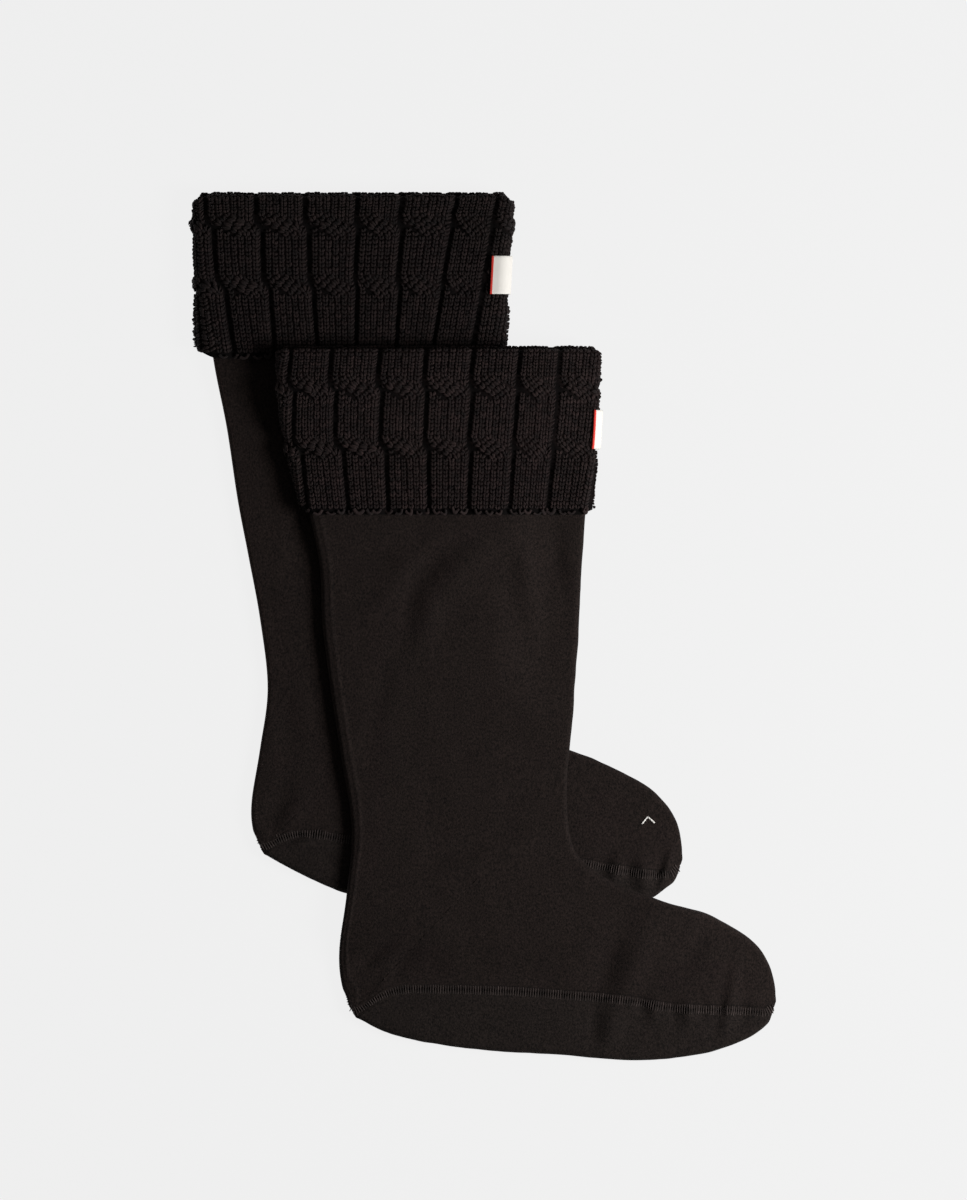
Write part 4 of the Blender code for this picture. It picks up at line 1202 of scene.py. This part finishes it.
def knit_frames(sock, cable, wale, profile):
    """Points on a column of stitches, the ways along and out of the knit, and its stretch across and along."""
    room = FLANK_ROOM if wale.kind == SURFACE else STRAND_ROOM

    def point_at(place_now, profile_now, more=0.0):
        return knit_point(sock, place_now, profile_now, wale.kind, more - room * STITCH_ROOM)

    middle = cable + wale_path(sock, wale, profile)
    points = point_at(middle, profile)
    ends = []
    for shift in (FRAME_STEP, -FRAME_STEP):
        # Halfway between two crossings the strands change names, and a path must not jump there
        moved = cable + wale_path(sock, wale, profile + shift)
        moved = np.where(np.abs(moved - middle) < PATH_JUMP, moved, middle)
        ends.append(point_at(moved, profile + shift))
    run = ends[1] - ends[0]
    along = normalised(run)
    across = point_at(middle + FRAME_SIDE, profile) - point_at(middle - FRAME_SIDE, profile)
    out = normalised(np.cross(across, along))
    # Where the knit steps from one strand to the other, a stitch stands as its neighbours do
    plain_out = normalised(point_at(middle, profile, 1.0) - points)
    out = np.where(np.sum(out * plain_out, axis=-1, keepdims=True) < ASTRAY, plain_out, out)
    stretch = np.linalg.norm(across, axis=-1) / (2 * FRAME_SIDE)
    return points, along, out, stretch, np.linalg.norm(run, axis=-1) / (2 * FRAME_STEP)


def knit_cloud(sock, spacing, seed):
    """Where every stitch of a cuff lies, and where the long legs on the blocks' right flanks lie."""
    chance = np.random.default_rng(seed)
    rows = np.arange(hem_profile(sock) - LAST_ROW_INSET, -TOP_ROW_SHARE * FOLD_ARC, -spacing)
    found = {True: [], False: []}
    for cable in range(CABLES_ROUND):
        for wale in WALES:
            profile = rows[wale_shows(sock, wale, rows)]
            points, along, out, stretch, length = knit_frames(sock, cable, wale, profile)
            _, _, crossing = strand_paths(sock, profile + FOLD_RADIUS)
            shifts = chance.normal(0, STITCH_SHIFT, (3, len(points), 1)) * (1 + CROSSING_UNREST * crossing[:, None])
            points = points + along * shifts[0] + out * shifts[1]
            along = normalised(along + np.cross(out, along) * shifts[2])
            found[wale.kind == SURFACE].append(np.column_stack((points, along, out, stretch, length)))
    return np.vstack(found[False]), np.vstack(found[True])


def split_by_side(cloud):
    """The stitches that show from above or from an edge, and those that are turned down."""
    turned_down = cloud[:, OUT][:, 2] <= TURNED_DOWN
    return cloud[~turned_down], cloud[turned_down]


# ---- Materials ----


def start_material(name):
    """A new material, and a way to add its nodes."""
    material = bpy.data.materials.new(name)
    material.use_nodes = True
    return material, partial(add_node, material.node_tree)


def finish_material(material, colour, height, constants, depth, strength):
    """Leads a colour and a fine relief into a material's shader, and sets the shader's constants."""
    tree = material.node_tree
    shader = tree.nodes["Principled BSDF"]
    bump = add_node(tree, "ShaderNodeBump", {"Height": height, "Distance": depth, "Strength": strength})
    tree.links.new(colour.outputs[MIXED], shader.inputs["Base Color"])
    tree.links.new(bump.outputs["Normal"], shader.inputs["Normal"])
    return set_constants(material, constants)


def set_constants(material, constants):
    for key, value in constants.items():
        material.node_tree.nodes["Principled BSDF"].inputs[key].default_value = value
    return material


def shade(colour, amount):
    """A colour made darker or lighter, with its alpha."""
    return (*(min(c * amount, 1.0) for c in colour[:3]), 1.0)


def soft_fibres(colour, roughness, specular):
    """The shader's constants for soft fibres: hardly any gloss, and a faint sheen of their own colour."""
    return {
        "Roughness": roughness,
        "Specular IOR Level": specular,
        "Sheen Weight": 0.05,
        "Sheen Roughness": 0.5,
        "Sheen Tint": shade(colour, 12.0),
    }


def fleece_material(name, colour, settings, seam_shade, rim_light):
    """Brushed polyester fleece: a matt nap of short tufts, lighter where the tufts catch the light.

    seam_shade is how bright the line of painted shade is where the cloth goes under the seam's stitches: 1 for no
    line.
    rim_light is how much lighter the outline is painted where it faces away from the lamp: painted light on an edge
    that the lamp leaves in shade.
    """
    material, add = start_material(name)
    spot = add("ShaderNodeTexCoord").outputs["Object"]
    grain = add("ShaderNodeMapping", {"Vector": spot, "Scale": (1.0, 0.7, 1.0)})
    nap = {"Vector": grain, "Scale": 1 / settings.nap_size, "Detail": 4.0, "Roughness": 0.75}
    tufts = add("ShaderNodeTexNoise", nap)
    ramp = add("ShaderNodeMapRange", {"Value": tufts, "From Min": 0.35, "From Max": 0.67})
    tones = {FACTOR: ramp, FIRST: shade(colour, 0.2), SECOND: shade(colour, 2.1)}
    fibres = add("ShaderNodeMix", tones, data_type="RGBA")
    patches = add("ShaderNodeTexNoise", {"Vector": spot, "Scale": 1 / WORN_PATCH, "Detail": 2.0})
    worn = add("ShaderNodeMapRange", {"Value": patches, "To Min": 0.75})
    # A darker line where the seam's stitches end: painted shade where the cloth goes under them
    distance = add("ShaderNodeAttribute", attribute_name="seam").outputs["Fac"]
    past_line = add("ShaderNodeMath", {0: distance, 1: SEAM_LINE}, operation="SUBTRACT")
    from_line = add("ShaderNodeMath", {0: past_line}, operation="ABSOLUTE")
    line = add("ShaderNodeMapRange", {"Value": from_line, "From Min": 0.1, "From Max": 0.8, "To Min": seam_shade})
    # Painted light on the outline that faces away from the lamp
    rim = add("ShaderNodeAttribute", attribute_name="rim").outputs["Fac"]
    on_rim = add("ShaderNodeMath", {0: rim, 1: rim_light, 2: 1.0}, operation="MULTIPLY_ADD")
    # The worn patches times the painted seam shade
    wear_and_seam_shade = add("ShaderNodeMath", {0: worn, 1: line}, operation="MULTIPLY")
    light = add("ShaderNodeMath", {0: wear_and_seam_shade, 1: on_rim}, operation="MULTIPLY")
    lit = {FACTOR: 1.0, FIRST: fibres.outputs[MIXED], SECOND: light}
    mixed = add("ShaderNodeMix", lit, data_type="RGBA", blend_type="MULTIPLY")
    constants = soft_fibres(colour, roughness=0.95, specular=0.12)
    return finish_material(material, mixed, tufts, constants, depth=settings.nap_depth, strength=0.9)


def yarn_material(name, colour, yarn):
    """Soft spun yarn: plies twisted round each other, a little fuzz, and a slightly different tone a stitch."""
    material, add = start_material(name)
    own = add("ShaderNodeAttribute", attribute_name="yarn").outputs["Vector"]
    part = add("ShaderNodeSeparateXYZ", {0: own}).outputs
    twisted = add("ShaderNodeMath", {0: part["Y"], 1: yarn.twist}, operation="MULTIPLY")
    slant = add("ShaderNodeMath", {0: part["X"], 1: twisted}, operation="ADD")
    turns = add("ShaderNodeMath", {0: slant, 1: 2 * math.pi * PLIES}, operation="MULTIPLY")
    plies = add("ShaderNodeMath", {0: turns}, operation="SINE")
    spot = add("ShaderNodeTexCoord").outputs["Object"]
    fuzz = add("ShaderNodeTexNoise", {"Vector": spot, "Scale": 1 / FUZZ, "Detail": 3.0, "Roughness": 0.7})
    ply_height = add("ShaderNodeMath", {0: plies, 1: 0.5}, operation="MULTIPLY")
    height = add("ShaderNodeMath", {0: ply_height, 1: fuzz}, operation="ADD")
    tone = add("ShaderNodeAttribute", attribute_name="tone").outputs["Fac"]
    tones = {FACTOR: tone, FIRST: shade(colour, 1 - yarn.contrast), SECOND: shade(colour, 1 + yarn.contrast)}
    mixed = add("ShaderNodeMix", tones, data_type="RGBA")
    specks = add("ShaderNodeMapRange", {"Value": fuzz, "From Min": 0.48, "From Max": 0.68})
    flecks = {FACTOR: specks, FIRST: mixed.outputs[MIXED], SECOND: shade(colour, yarn.fleck)}
    flecked = add("ShaderNodeMix", flecks, data_type="RGBA")
    wander = add("ShaderNodeTexNoise", {"Vector": spot, "Scale": 1 / WANDER, "Detail": 2.0})
    reach = {"From Min": 0.35, "From Max": 0.65, "To Min": 1 - yarn.patch, "To Max": 1 + yarn.patch / 2}
    light = add("ShaderNodeMapRange", {"Value": wander, **reach})
    lit = {FACTOR: 1.0, FIRST: flecked.outputs[MIXED], SECOND: light}
    final = add("ShaderNodeMix", lit, data_type="RGBA", blend_type="MULTIPLY")
    constants = soft_fibres(colour, roughness=0.85, specular=0.2)
    return finish_material(material, final, height, constants, depth=FUZZ_DEPTH, strength=0.8)


def backing_material(name, colour):
    """The back of the knit behind its stitches: fuzzy yarn, made nearly black by painted shade where its relief is
    low, in the grooves, at the hem and beside a crossing.
    """
    material, add = start_material(name)
    spot = add("ShaderNodeTexCoord").outputs["Object"]
    fuzz = add("ShaderNodeTexNoise", {"Vector": spot, "Scale": 1 / FUZZ, "Detail": 3.0, "Roughness": 0.6})
    tones = {FACTOR: fuzz, FIRST: shade(colour, 0.45), SECOND: shade(colour, 0.9)}
    mixed = add("ShaderNodeMix", tones, data_type="RGBA")
    # Painted shade: where the relief is low, the backing is nearly black
    relief = add("ShaderNodeAttribute", attribute_name="relief").outputs["Fac"]
    raised = add("ShaderNodeMapRange", {"Value": relief, "From Min": 0.1, "From Max": STRAND_HEIGHT * 0.8})
    painted_depth_shade = {FACTOR: raised, FIRST: shade(colour, 0.16), SECOND: mixed.outputs[MIXED]}
    final = add("ShaderNodeMix", painted_depth_shade, data_type="RGBA")
    constants = {"Roughness": 0.95, "Specular IOR Level": 0.1}
    return finish_material(material, final, fuzz, constants, depth=FUZZ_DEPTH, strength=0.8)


def label_material(name, settings):
    """Woven polyester tape: fine ribs of weft, with a plain stripe woven in at its stitched end."""
    material, add = start_material(name)
    tab = add("ShaderNodeAttribute", attribute_name="tab").outputs["Vector"]
    part = add("ShaderNodeSeparateXYZ", {0: tab}).outputs
    in_stripe = add("ShaderNodeMath", {0: part["X"], 1: settings.stripe_width / MM}, operation="LESS_THAN")
    threads = {FACTOR: in_stripe, FIRST: shade(settings.tape_colour, 1), SECOND: shade(settings.stripe_colour, 1)}
    colour = add("ShaderNodeMix", threads, data_type="RGBA")
    waves = []
    for axis, spacing in (("Y", WEFT_SPACING), ("X", WARP_SPACING)):
        turns = add("ShaderNodeMath", {0: part[axis], 1: 2 * math.pi / spacing}, operation="MULTIPLY")
        waves.append(add("ShaderNodeMath", {0: turns}, operation="SINE"))
    raised_warp = add("ShaderNodeMath", {0: waves[1], 1: 1.4}, operation="ADD")
    weave = add("ShaderNodeMath", {0: waves[0], 1: raised_warp}, operation="MULTIPLY")
    shadow = add("ShaderNodeMapRange", {"Value": weave, "From Min": -2.4, "From Max": 2.4, "To Min": 0.88})
    lit = {FACTOR: 1.0, FIRST: colour.outputs[MIXED], SECOND: shadow}
    final = add("ShaderNodeMix", lit, data_type="RGBA", blend_type="MULTIPLY")
    constants = {"Roughness": 0.6, "Specular IOR Level": 0.3}
    return finish_material(material, final, weave, constants, depth=WEAVE_DEPTH, strength=0.7)


def floor_material(name, settings):
    """Matt studio paper: pale and even, with only a faint shadow on it."""
    material, _ = start_material(name)
    constants = {
        "Base Color": shade(settings.floor_colour, (1 - settings.floor_glow) * FLOOR_LIGHT),
        "Emission Color": shade(settings.floor_colour, 1),
        "Emission Strength": settings.floor_glow,
        "Roughness": 1.0,
        "Specular IOR Level": 0.0,
    }
    return set_constants(material, constants)


# ---- Operators ----


UNDER = Sock(
    name="under",
    # The under cuff's yarn and backing are darker copies of the top cuff's: painted shade for the weaker light on
    # that cuff
    knit_tone=0.76,
    sections=UNDER_SECTIONS,
    creases=UNDER_CREASES,
    hidden_creases=UNDER_HIDDEN_CREASES,
    floor=flat_floor,
    cables_near=6.27,
    first_groove=0.17,
    groove_lean=0.13,
    grooves=UNDER_GROOVES,
    first_crossing=20.0,
    hem_flare=4.5,
    corner=5.5,
    label_inset=12.6,
    seam_ridge=0.0,
    rim_light=2.5,
)
TOP = Sock(
    name="top",
    knit_tone=1.0,
    sections=TOP_SECTIONS,
    creases=TOP_CREASES,
    hidden_creases=TOP_HIDDEN_CREASES,
    floor=floor_over(UNDER_SECTIONS, TOP_SECTIONS),
    cables_near=6.67,
    first_groove=0.10,
    groove_lean=-0.16,
    grooves=TOP_GROOVES,
    first_crossing=25.0,
    hem_flare=0.0,
    corner=3.2,
    label_inset=5.1,
    seam_ridge=0.65,
    rim_light=0.3,
)
SOCKS = (UNDER, TOP)


class SOCKS_OT_fleece(bpy.types.Operator):
    """Builds the fleece leg panels and soles"""

    bl_idname = "socks.fleece"
    bl_label = "Fleece legs and soles"

    def execute(self, context):
        settings = context.scene.sock_fleece
        name = "Brushed fleece of the soles"
        sole_material = fleece_material(name, settings.sole_colour, settings, seam_shade=1.0, rim_light=0.3)
        for sock in SOCKS:
            name = f"Brushed fleece of the {sock.name} leg"
            leg_material = fleece_material(name, settings.leg_colour, settings, SEAM_SHADE, sock.rim_light)
            for part, rays, material in (("leg", leg_rays, leg_material), ("sole", sole_rays, sole_material)):
                name = f"{sock.name}_{part}_fleece"
                mesh = fleece_mesh(name, sock, rays(sock), settings)
                add_piece(name, mesh, material, [f"{sock.name}_{part}"])
        return {"FINISHED"}


class SOCKS_OT_cuffs(bpy.types.Operator):
    """Builds the backing of the knitted cuffs, with the fold at the mouth and the inner layer"""

    bl_idname = "socks.cuffs"
    bl_label = "Cuffs"

    def execute(self, context):
        for sock in SOCKS:
            # Each cuff's backing is darkened by its sock's painted shade
            colour = shade(context.scene.sock_knit.colour, sock.knit_tone)
            material = backing_material(f"Back of the {sock.name} cuff's knit", colour)
            name = f"{sock.name}_cuff_backing"
            add_piece(name, cuff_mesh(name, sock), material, [f"{sock.name}_cuff"])
        return {"FINISHED"}


class SOCKS_OT_stitches(bpy.types.Operator):
    """Knits the stitches of the cuffs along their cables"""

    bl_idname = "socks.stitches"
    bl_label = "Knit stitches"

    def execute(self, context):
        settings = context.scene.sock_knit
        shown_tree = stitch_tree("Knit stitch", sides=5, rings=4)
        hidden_tree = stitch_tree("Knit stitch underneath", sides=4, rings=3)
        flank_tree = lobe_tree("Flank stitch", sides=6, rings=4)
        chance = {"Unevenness": settings.unevenness, "Seed": settings.seed}
        yarn = (settings.yarn_width, settings.stitch_length, settings.yarn_height)
        values = {**dict(zip(LOBE_SIZES, yarn)), "Lean": settings.lean, **STITCH_PLACES, **chance}
        for sock in SOCKS:
            # Each cuff has its own copy of the yarn, darkened by its sock's painted shade
            colour = shade(settings.colour, sock.knit_tone)
            material = yarn_material(YARN_NAME.format(sock.name), colour, WOOL)
            knit, flank = knit_cloud(sock, settings.row_spacing / MM, settings.seed)
            kinds = (("", shown_tree), ("_underneath", hidden_tree))
            for (ending, tree), cloud, legs in zip(kinds, split_by_side(knit), split_by_side(flank)):
                # Along the edges the stitches are pressed flatter, so the outline is nearly smooth
                flatness = EDGE_FLATNESS + (1 - EDGE_FLATNESS) * np.abs(cloud[:, OUT][:, 2:])
                size = np.hstack((cloud[:, STRETCH] * WALE_SPACING / WALE_WIDTH, cloud[:, LENGTH], flatness))
                lying = (cloud[:, PLACE], cloud[:, ALONG], cloud[:, OUT], size)
                grow(f"{sock.name}_cuff_stitches{ending}", tree, lying, values, material)
                side = np.cross(legs[:, ALONG], legs[:, OUT])
                slanted = side * math.cos(FLANK_SLANT) + legs[:, ALONG] * math.sin(FLANK_SLANT)
                lying = (legs[:, PLACE], slanted, legs[:, OUT], np.ones_like(side))
                name = f"{sock.name}_cuff_flanks{ending}"
                grow(name, flank_tree, lying, {**FLANK_SIZES, **chance}, material)
        return {"FINISHED"}


class SOCKS_OT_hems(bpy.types.Operator):
    """Loops the bound-off edge of each cuff"""

    bl_idname = "socks.hems"
    bl_label = "Hem loops"

    def execute(self, context):
        settings = context.scene.sock_knit
        tree = bar_tree("Hem loop")
        values = {**HEM_SIZES, "Unevenness": settings.unevenness, "Seed": settings.seed}
        for sock in SOCKS:
            chance = np.random.default_rng(settings.seed)
            cable = np.cumsum(chance.uniform(*LOOP_SPACING, HEM_LOOPS))
            cable *= CABLES_ROUND / cable[-1]
            profile = hem_profile(sock) - LOOP_INSET + chance.normal(0, LOOP_SHIFT, HEM_LOOPS)
            points = knit_point(sock, cable, profile, SURFACE, 0.0)
            ahead = knit_point(sock, cable + LOOP_AHEAD, profile, SURFACE, 0.0)
            down = normalised(points - knit_point(sock, cable, profile - 1.0, SURFACE, 0.0))
            side = normalised(ahead - points)
            side = normalised(side + down * chance.normal(0, LOOP_TILT, (HEM_LOOPS, 1)))
            down = normalised(np.cross(side, np.cross(down, side)))
            size = np.ones_like(points)
            size[:, 0] = chance.uniform(*LOOP_WIDTHS, HEM_LOOPS)
            size[:, 2] = chance.uniform(*LOOP_HEIGHTS, HEM_LOOPS)
            # Along the edges the loops are smaller
            plain_out = normalised(knit_point(sock, cable, profile, SURFACE, 1.0) - points)
            size *= EDGE_LOOP + (1 - EDGE_LOOP) * np.abs(plain_out[:, 2:])
            material = bpy.data.materials[YARN_NAME.format(sock.name)]
            cloud = (points, np.cross(down, side), down, size)
            grow(f"{sock.name}_cuff_hem", tree, cloud, values, material)
        return {"FINISHED"}


def seam_path(sock, seam, spacing):
    """Points at even steps along a seam, and the ways across it there."""
    middles, across = [], []
    for row in fleece_rows(sock):
        section = section_at(sock.sections, row)
        arc = seam.arc or rim_facts(section)[-1]
        if seam.first_row < row < seam.last_row and arc >= seam.least_arc:
            arcs = (arc - seam.reach, arc, arc + seam.reach)
            rays = np.array([[edge_ray(section, lift_at(row), place_now, seam.side) for place_now in arcs]])
            before, middle, after = place(sock, rays, rays[..., HALF])[0]
            middles.append(middle)
            across.append(after - before)
    length = np.concatenate(([0.0], np.cumsum(np.linalg.norm(np.diff(middles, axis=0), axis=1))))
    places = np.arange(spacing / 2, length[-1], spacing)
    return (
        np.column_stack([np.interp(places, length, column) for column in zip(*values)])
        for values in (middles, across)
    )


class SOCKS_OT_seams(bpy.types.Operator):
    """Sews the ladder stitches over the back seam and the sole seam"""

    bl_idname = "socks.seams"
    bl_label = "Seams"

    def execute(self, context):
        settings = context.scene.sock_sewing
        material = yarn_material("Polyester seam thread", settings.colour, SEAM_THREAD)
        tree = bar_tree("Cross stitch")
        for sock in SOCKS:
            for seam in SEAMS:
                points, side = seam_path(sock, seam, settings.spacing / MM)
                run = normalised(np.gradient(points, axis=0))
                out = normalised(np.cross(normalised(side), run))
                out *= np.sign(out[:, 2:]) * seam.side
                cloud = (points + out * seam.lift, run, out, np.ones_like(points))
                sizes = {"Length": settings.bar_length * seam.share, "Thickness": settings.thread}
                values = {**sizes, "Drop": seam.drop * MM, "Unevenness": 0.08, "Seed": 3}
                grow(f"{sock.name}_{seam.kind}", tree, cloud, values, material)
        return {"FINISHED"}


def label_mesh(name, sock):
    """A tape that lies on the front of the cuff and is wrapped round its edge."""
    inner_radius = CUFF_OUTSIDE + LABEL_PAD + SEAM_GAP
    outer_radius = inner_radius + LABEL_THICK
    flat_length = max(sock.label_inset - outer_radius, 0.0)
    first_angle = math.acos(1 - min(sock.label_inset, outer_radius) / outer_radius)
    spacing = sock.sections[MOUTH_ROW].fold_y - sock.sections[MOUTH_ROW + 1].fold_y
    rays, tab = [], []
    for down in steps_between(0, LABEL_HEIGHT, LABEL_ROWS):
        section = section_at(sock.sections, (LABEL_TOP + down) / spacing)
        for length in steps_between(0, LABEL_LENGTH, LABEL_STEPS):
            angle = first_angle - max(length - flat_length, 0.0) / outer_radius
            out_x, up = (math.cos(angle), math.sin(angle)) if length >= flat_length else (0.0, 1.0)
            x = section.fold_x - CUFF_HALF - max(flat_length - length, 0.0)
            rays.append(Ray(x, section.fold_y, out_x, 0.0, up, CUFF_HALF, CUFF_LIFT))
            tab.append((length, down, 0.0))
    rays, tab = (np.array(grid).reshape(LABEL_ROWS + 1, LABEL_STEPS + 1, -1) for grid in (rays, tab))
    edge = np.minimum(tab[..., 1], LABEL_HEIGHT - tab[..., 1])
    outer = place(sock, rays, outer_radius - LABEL_EDGE_DROP * bell(edge, LABEL_EDGE_WIDTH))
    inner = place(sock, rays, np.full(rays.shape[:2], inner_radius))
    return wall_mesh(name, outer, inner, 1, attributes=[("tab", VECTOR, tab)])


class SOCKS_OT_labels(bpy.types.Operator):
    """Wraps a plain woven label round the edge of each cuff"""

    bl_idname = "socks.labels"
    bl_label = "Labels"

    def execute(self, context):
        material = label_material("Woven label tape", context.scene.sock_label)
        for sock in SOCKS:
            name = f"{sock.name}_label_tape"
            add_piece(name, label_mesh(name, sock), material, [f"{sock.name}_label"])
        return {"FINISHED"}


class SOCKS_OT_toe_mark(bpy.types.Operator):
    """Stitches the small plain mark on the toe"""

    bl_idname = "socks.toe_mark"
    bl_label = "Toe mark"

    def execute(self, context):
        material = yarn_material("White marking thread", context.scene.sock_sewing.mark_colour, MARK_THREAD)
        points, along = [], []
        for end in MARK_FEET:
            line = np.array(end) - MARK_TOP
            for share in MARK_STITCHES:
                points.append(MARK_TOP + line * share)
                along.append((*(line / np.linalg.norm(line)), 0.0))
        x, y = np.array(points).T
        height = 2 * UNDER_SECTIONS[LEG_ROW].half + folds_at(UNDER.creases, x, y) + MARK_LIFT
        placed = np.column_stack((x, y, height))
        cloud = (placed, along, np.tile((0.0, 0.0, 1.0), (len(placed), 1)), np.ones_like(placed))
        grow("under_toe_mark", lobe_tree("Mark stitch", sides=6, rings=5), cloud, MARK_SIZES, material)
        return {"FINISHED"}


class SOCKS_OT_stage(bpy.types.Operator):
    """Lays the pale floor and sets up the lights and the camera"""

    bl_idname = "socks.stage"
    bl_label = "Floor, lights and camera"

    def execute(self, context):
        scene, settings = context.scene, context.scene.sock_stage
        corners = [(x * FLOOR_REACH, y * FLOOR_REACH, FLOOR_Z) for x, y in ((-1, -1), (1, -1), (1, 1), (-1, 1))]
        mesh = bpy.data.meshes.new("Floor")
        mesh.from_pydata(corners, [], [(0, 1, 2, 3)])
        mesh.materials.append(floor_material("Matt studio floor", settings))
        floor = bpy.data.objects.new("Floor", mesh)

        scene.world = bpy.data.worlds.new("Studio")
        scene.world.use_nodes = True
        sky = scene.world.node_tree.nodes["Background"]
        sky.inputs["Color"].default_value = (1.0, 1.0, 1.0, 1.0)
        sky.inputs["Strength"].default_value = settings.sky

        lamp = bpy.data.lights.new("Key light", "AREA")
        lamp.shape = "DISK"
        lamp.size = settings.key_size
        lamp.energy = settings.key
        key_light = bpy.data.objects.new("Key light", lamp)
        key_light.location = KEY_PLACE
        key_light.rotation_euler = KEY_PLACE.to_track_quat("Z", "Y").to_euler()

        lens = bpy.data.cameras.new("Camera")
        lens.sensor_width = SENSOR
        lens.lens = SENSOR * settings.camera_height / settings.view_height
        lens.clip_start, lens.clip_end = 0.1, 50.0
        camera = bpy.data.objects.new("Camera", lens)
        camera.location = (0.0, CAMERA_Y, settings.camera_height)
        for item in (floor, key_light, camera):
            scene.collection.objects.link(item)
        scene.camera = camera
        scene.view_settings.view_transform = "Standard"
        return {"FINISHED"}


class SOCKS_OT_cuts(bpy.types.Operator):
    """Does nothing: no flat size of the cloth is stated"""

    bl_idname = "socks.cuts"
    bl_label = "Cloth sizes"

    def execute(self, context):
        return {"FINISHED"}


class SOCKS_PT_panel(bpy.types.Panel):
    """The settings and the steps of the boot socks"""

    bl_idname = "SOCKS_PT_panel"
    bl_label = "Boot socks"
    bl_space_type = "VIEW_3D"
    bl_region_type = "UI"
    bl_category = "Boot socks"

    def draw(self, context):
        for key in SETTINGS:
            box = self.layout.box()
            settings = getattr(context.scene, key)
            for item in settings.bl_rna.properties:
                if not item.is_readonly and item.identifier != "name":
                    box.prop(settings, item.identifier)
        for operator in OPERATORS:
            self.layout.operator(operator.bl_idname)


SETTINGS = {
    "sock_fleece": FleeceSettings,
    "sock_knit": KnitSettings,
    "sock_sewing": SewingSettings,
    "sock_label": LabelSettings,
    "sock_stage": StageSettings,
}
OPERATORS = (
    SOCKS_OT_fleece,
    SOCKS_OT_cuffs,
    SOCKS_OT_stitches,
    SOCKS_OT_hems,
    SOCKS_OT_seams,
    SOCKS_OT_labels,
    SOCKS_OT_toe_mark,
    SOCKS_OT_stage,
    SOCKS_OT_cuts,
)


def register():
    for item in (*SETTINGS.values(), *OPERATORS, SOCKS_PT_panel):
        bpy.utils.register_class(item)
    for key, group in SETTINGS.items():
        setattr(bpy.types.Scene, key, PointerProperty(type=group))


def unregister():
    for key in SETTINGS:
        delattr(bpy.types.Scene, key)
    for item in reversed((*SETTINGS.values(), *OPERATORS, SOCKS_PT_panel)):
        bpy.utils.unregister_class(item)


def main():
    register()
    bpy.ops.socks.fleece()
    bpy.ops.socks.cuffs()
    bpy.ops.socks.stitches()
    bpy.ops.socks.hems()
    bpy.ops.socks.seams()
    bpy.ops.socks.labels()
    bpy.ops.socks.toe_mark()
    bpy.ops.socks.stage()
    bpy.ops.socks.cuts()


if __name__ == "__main__":
    main()
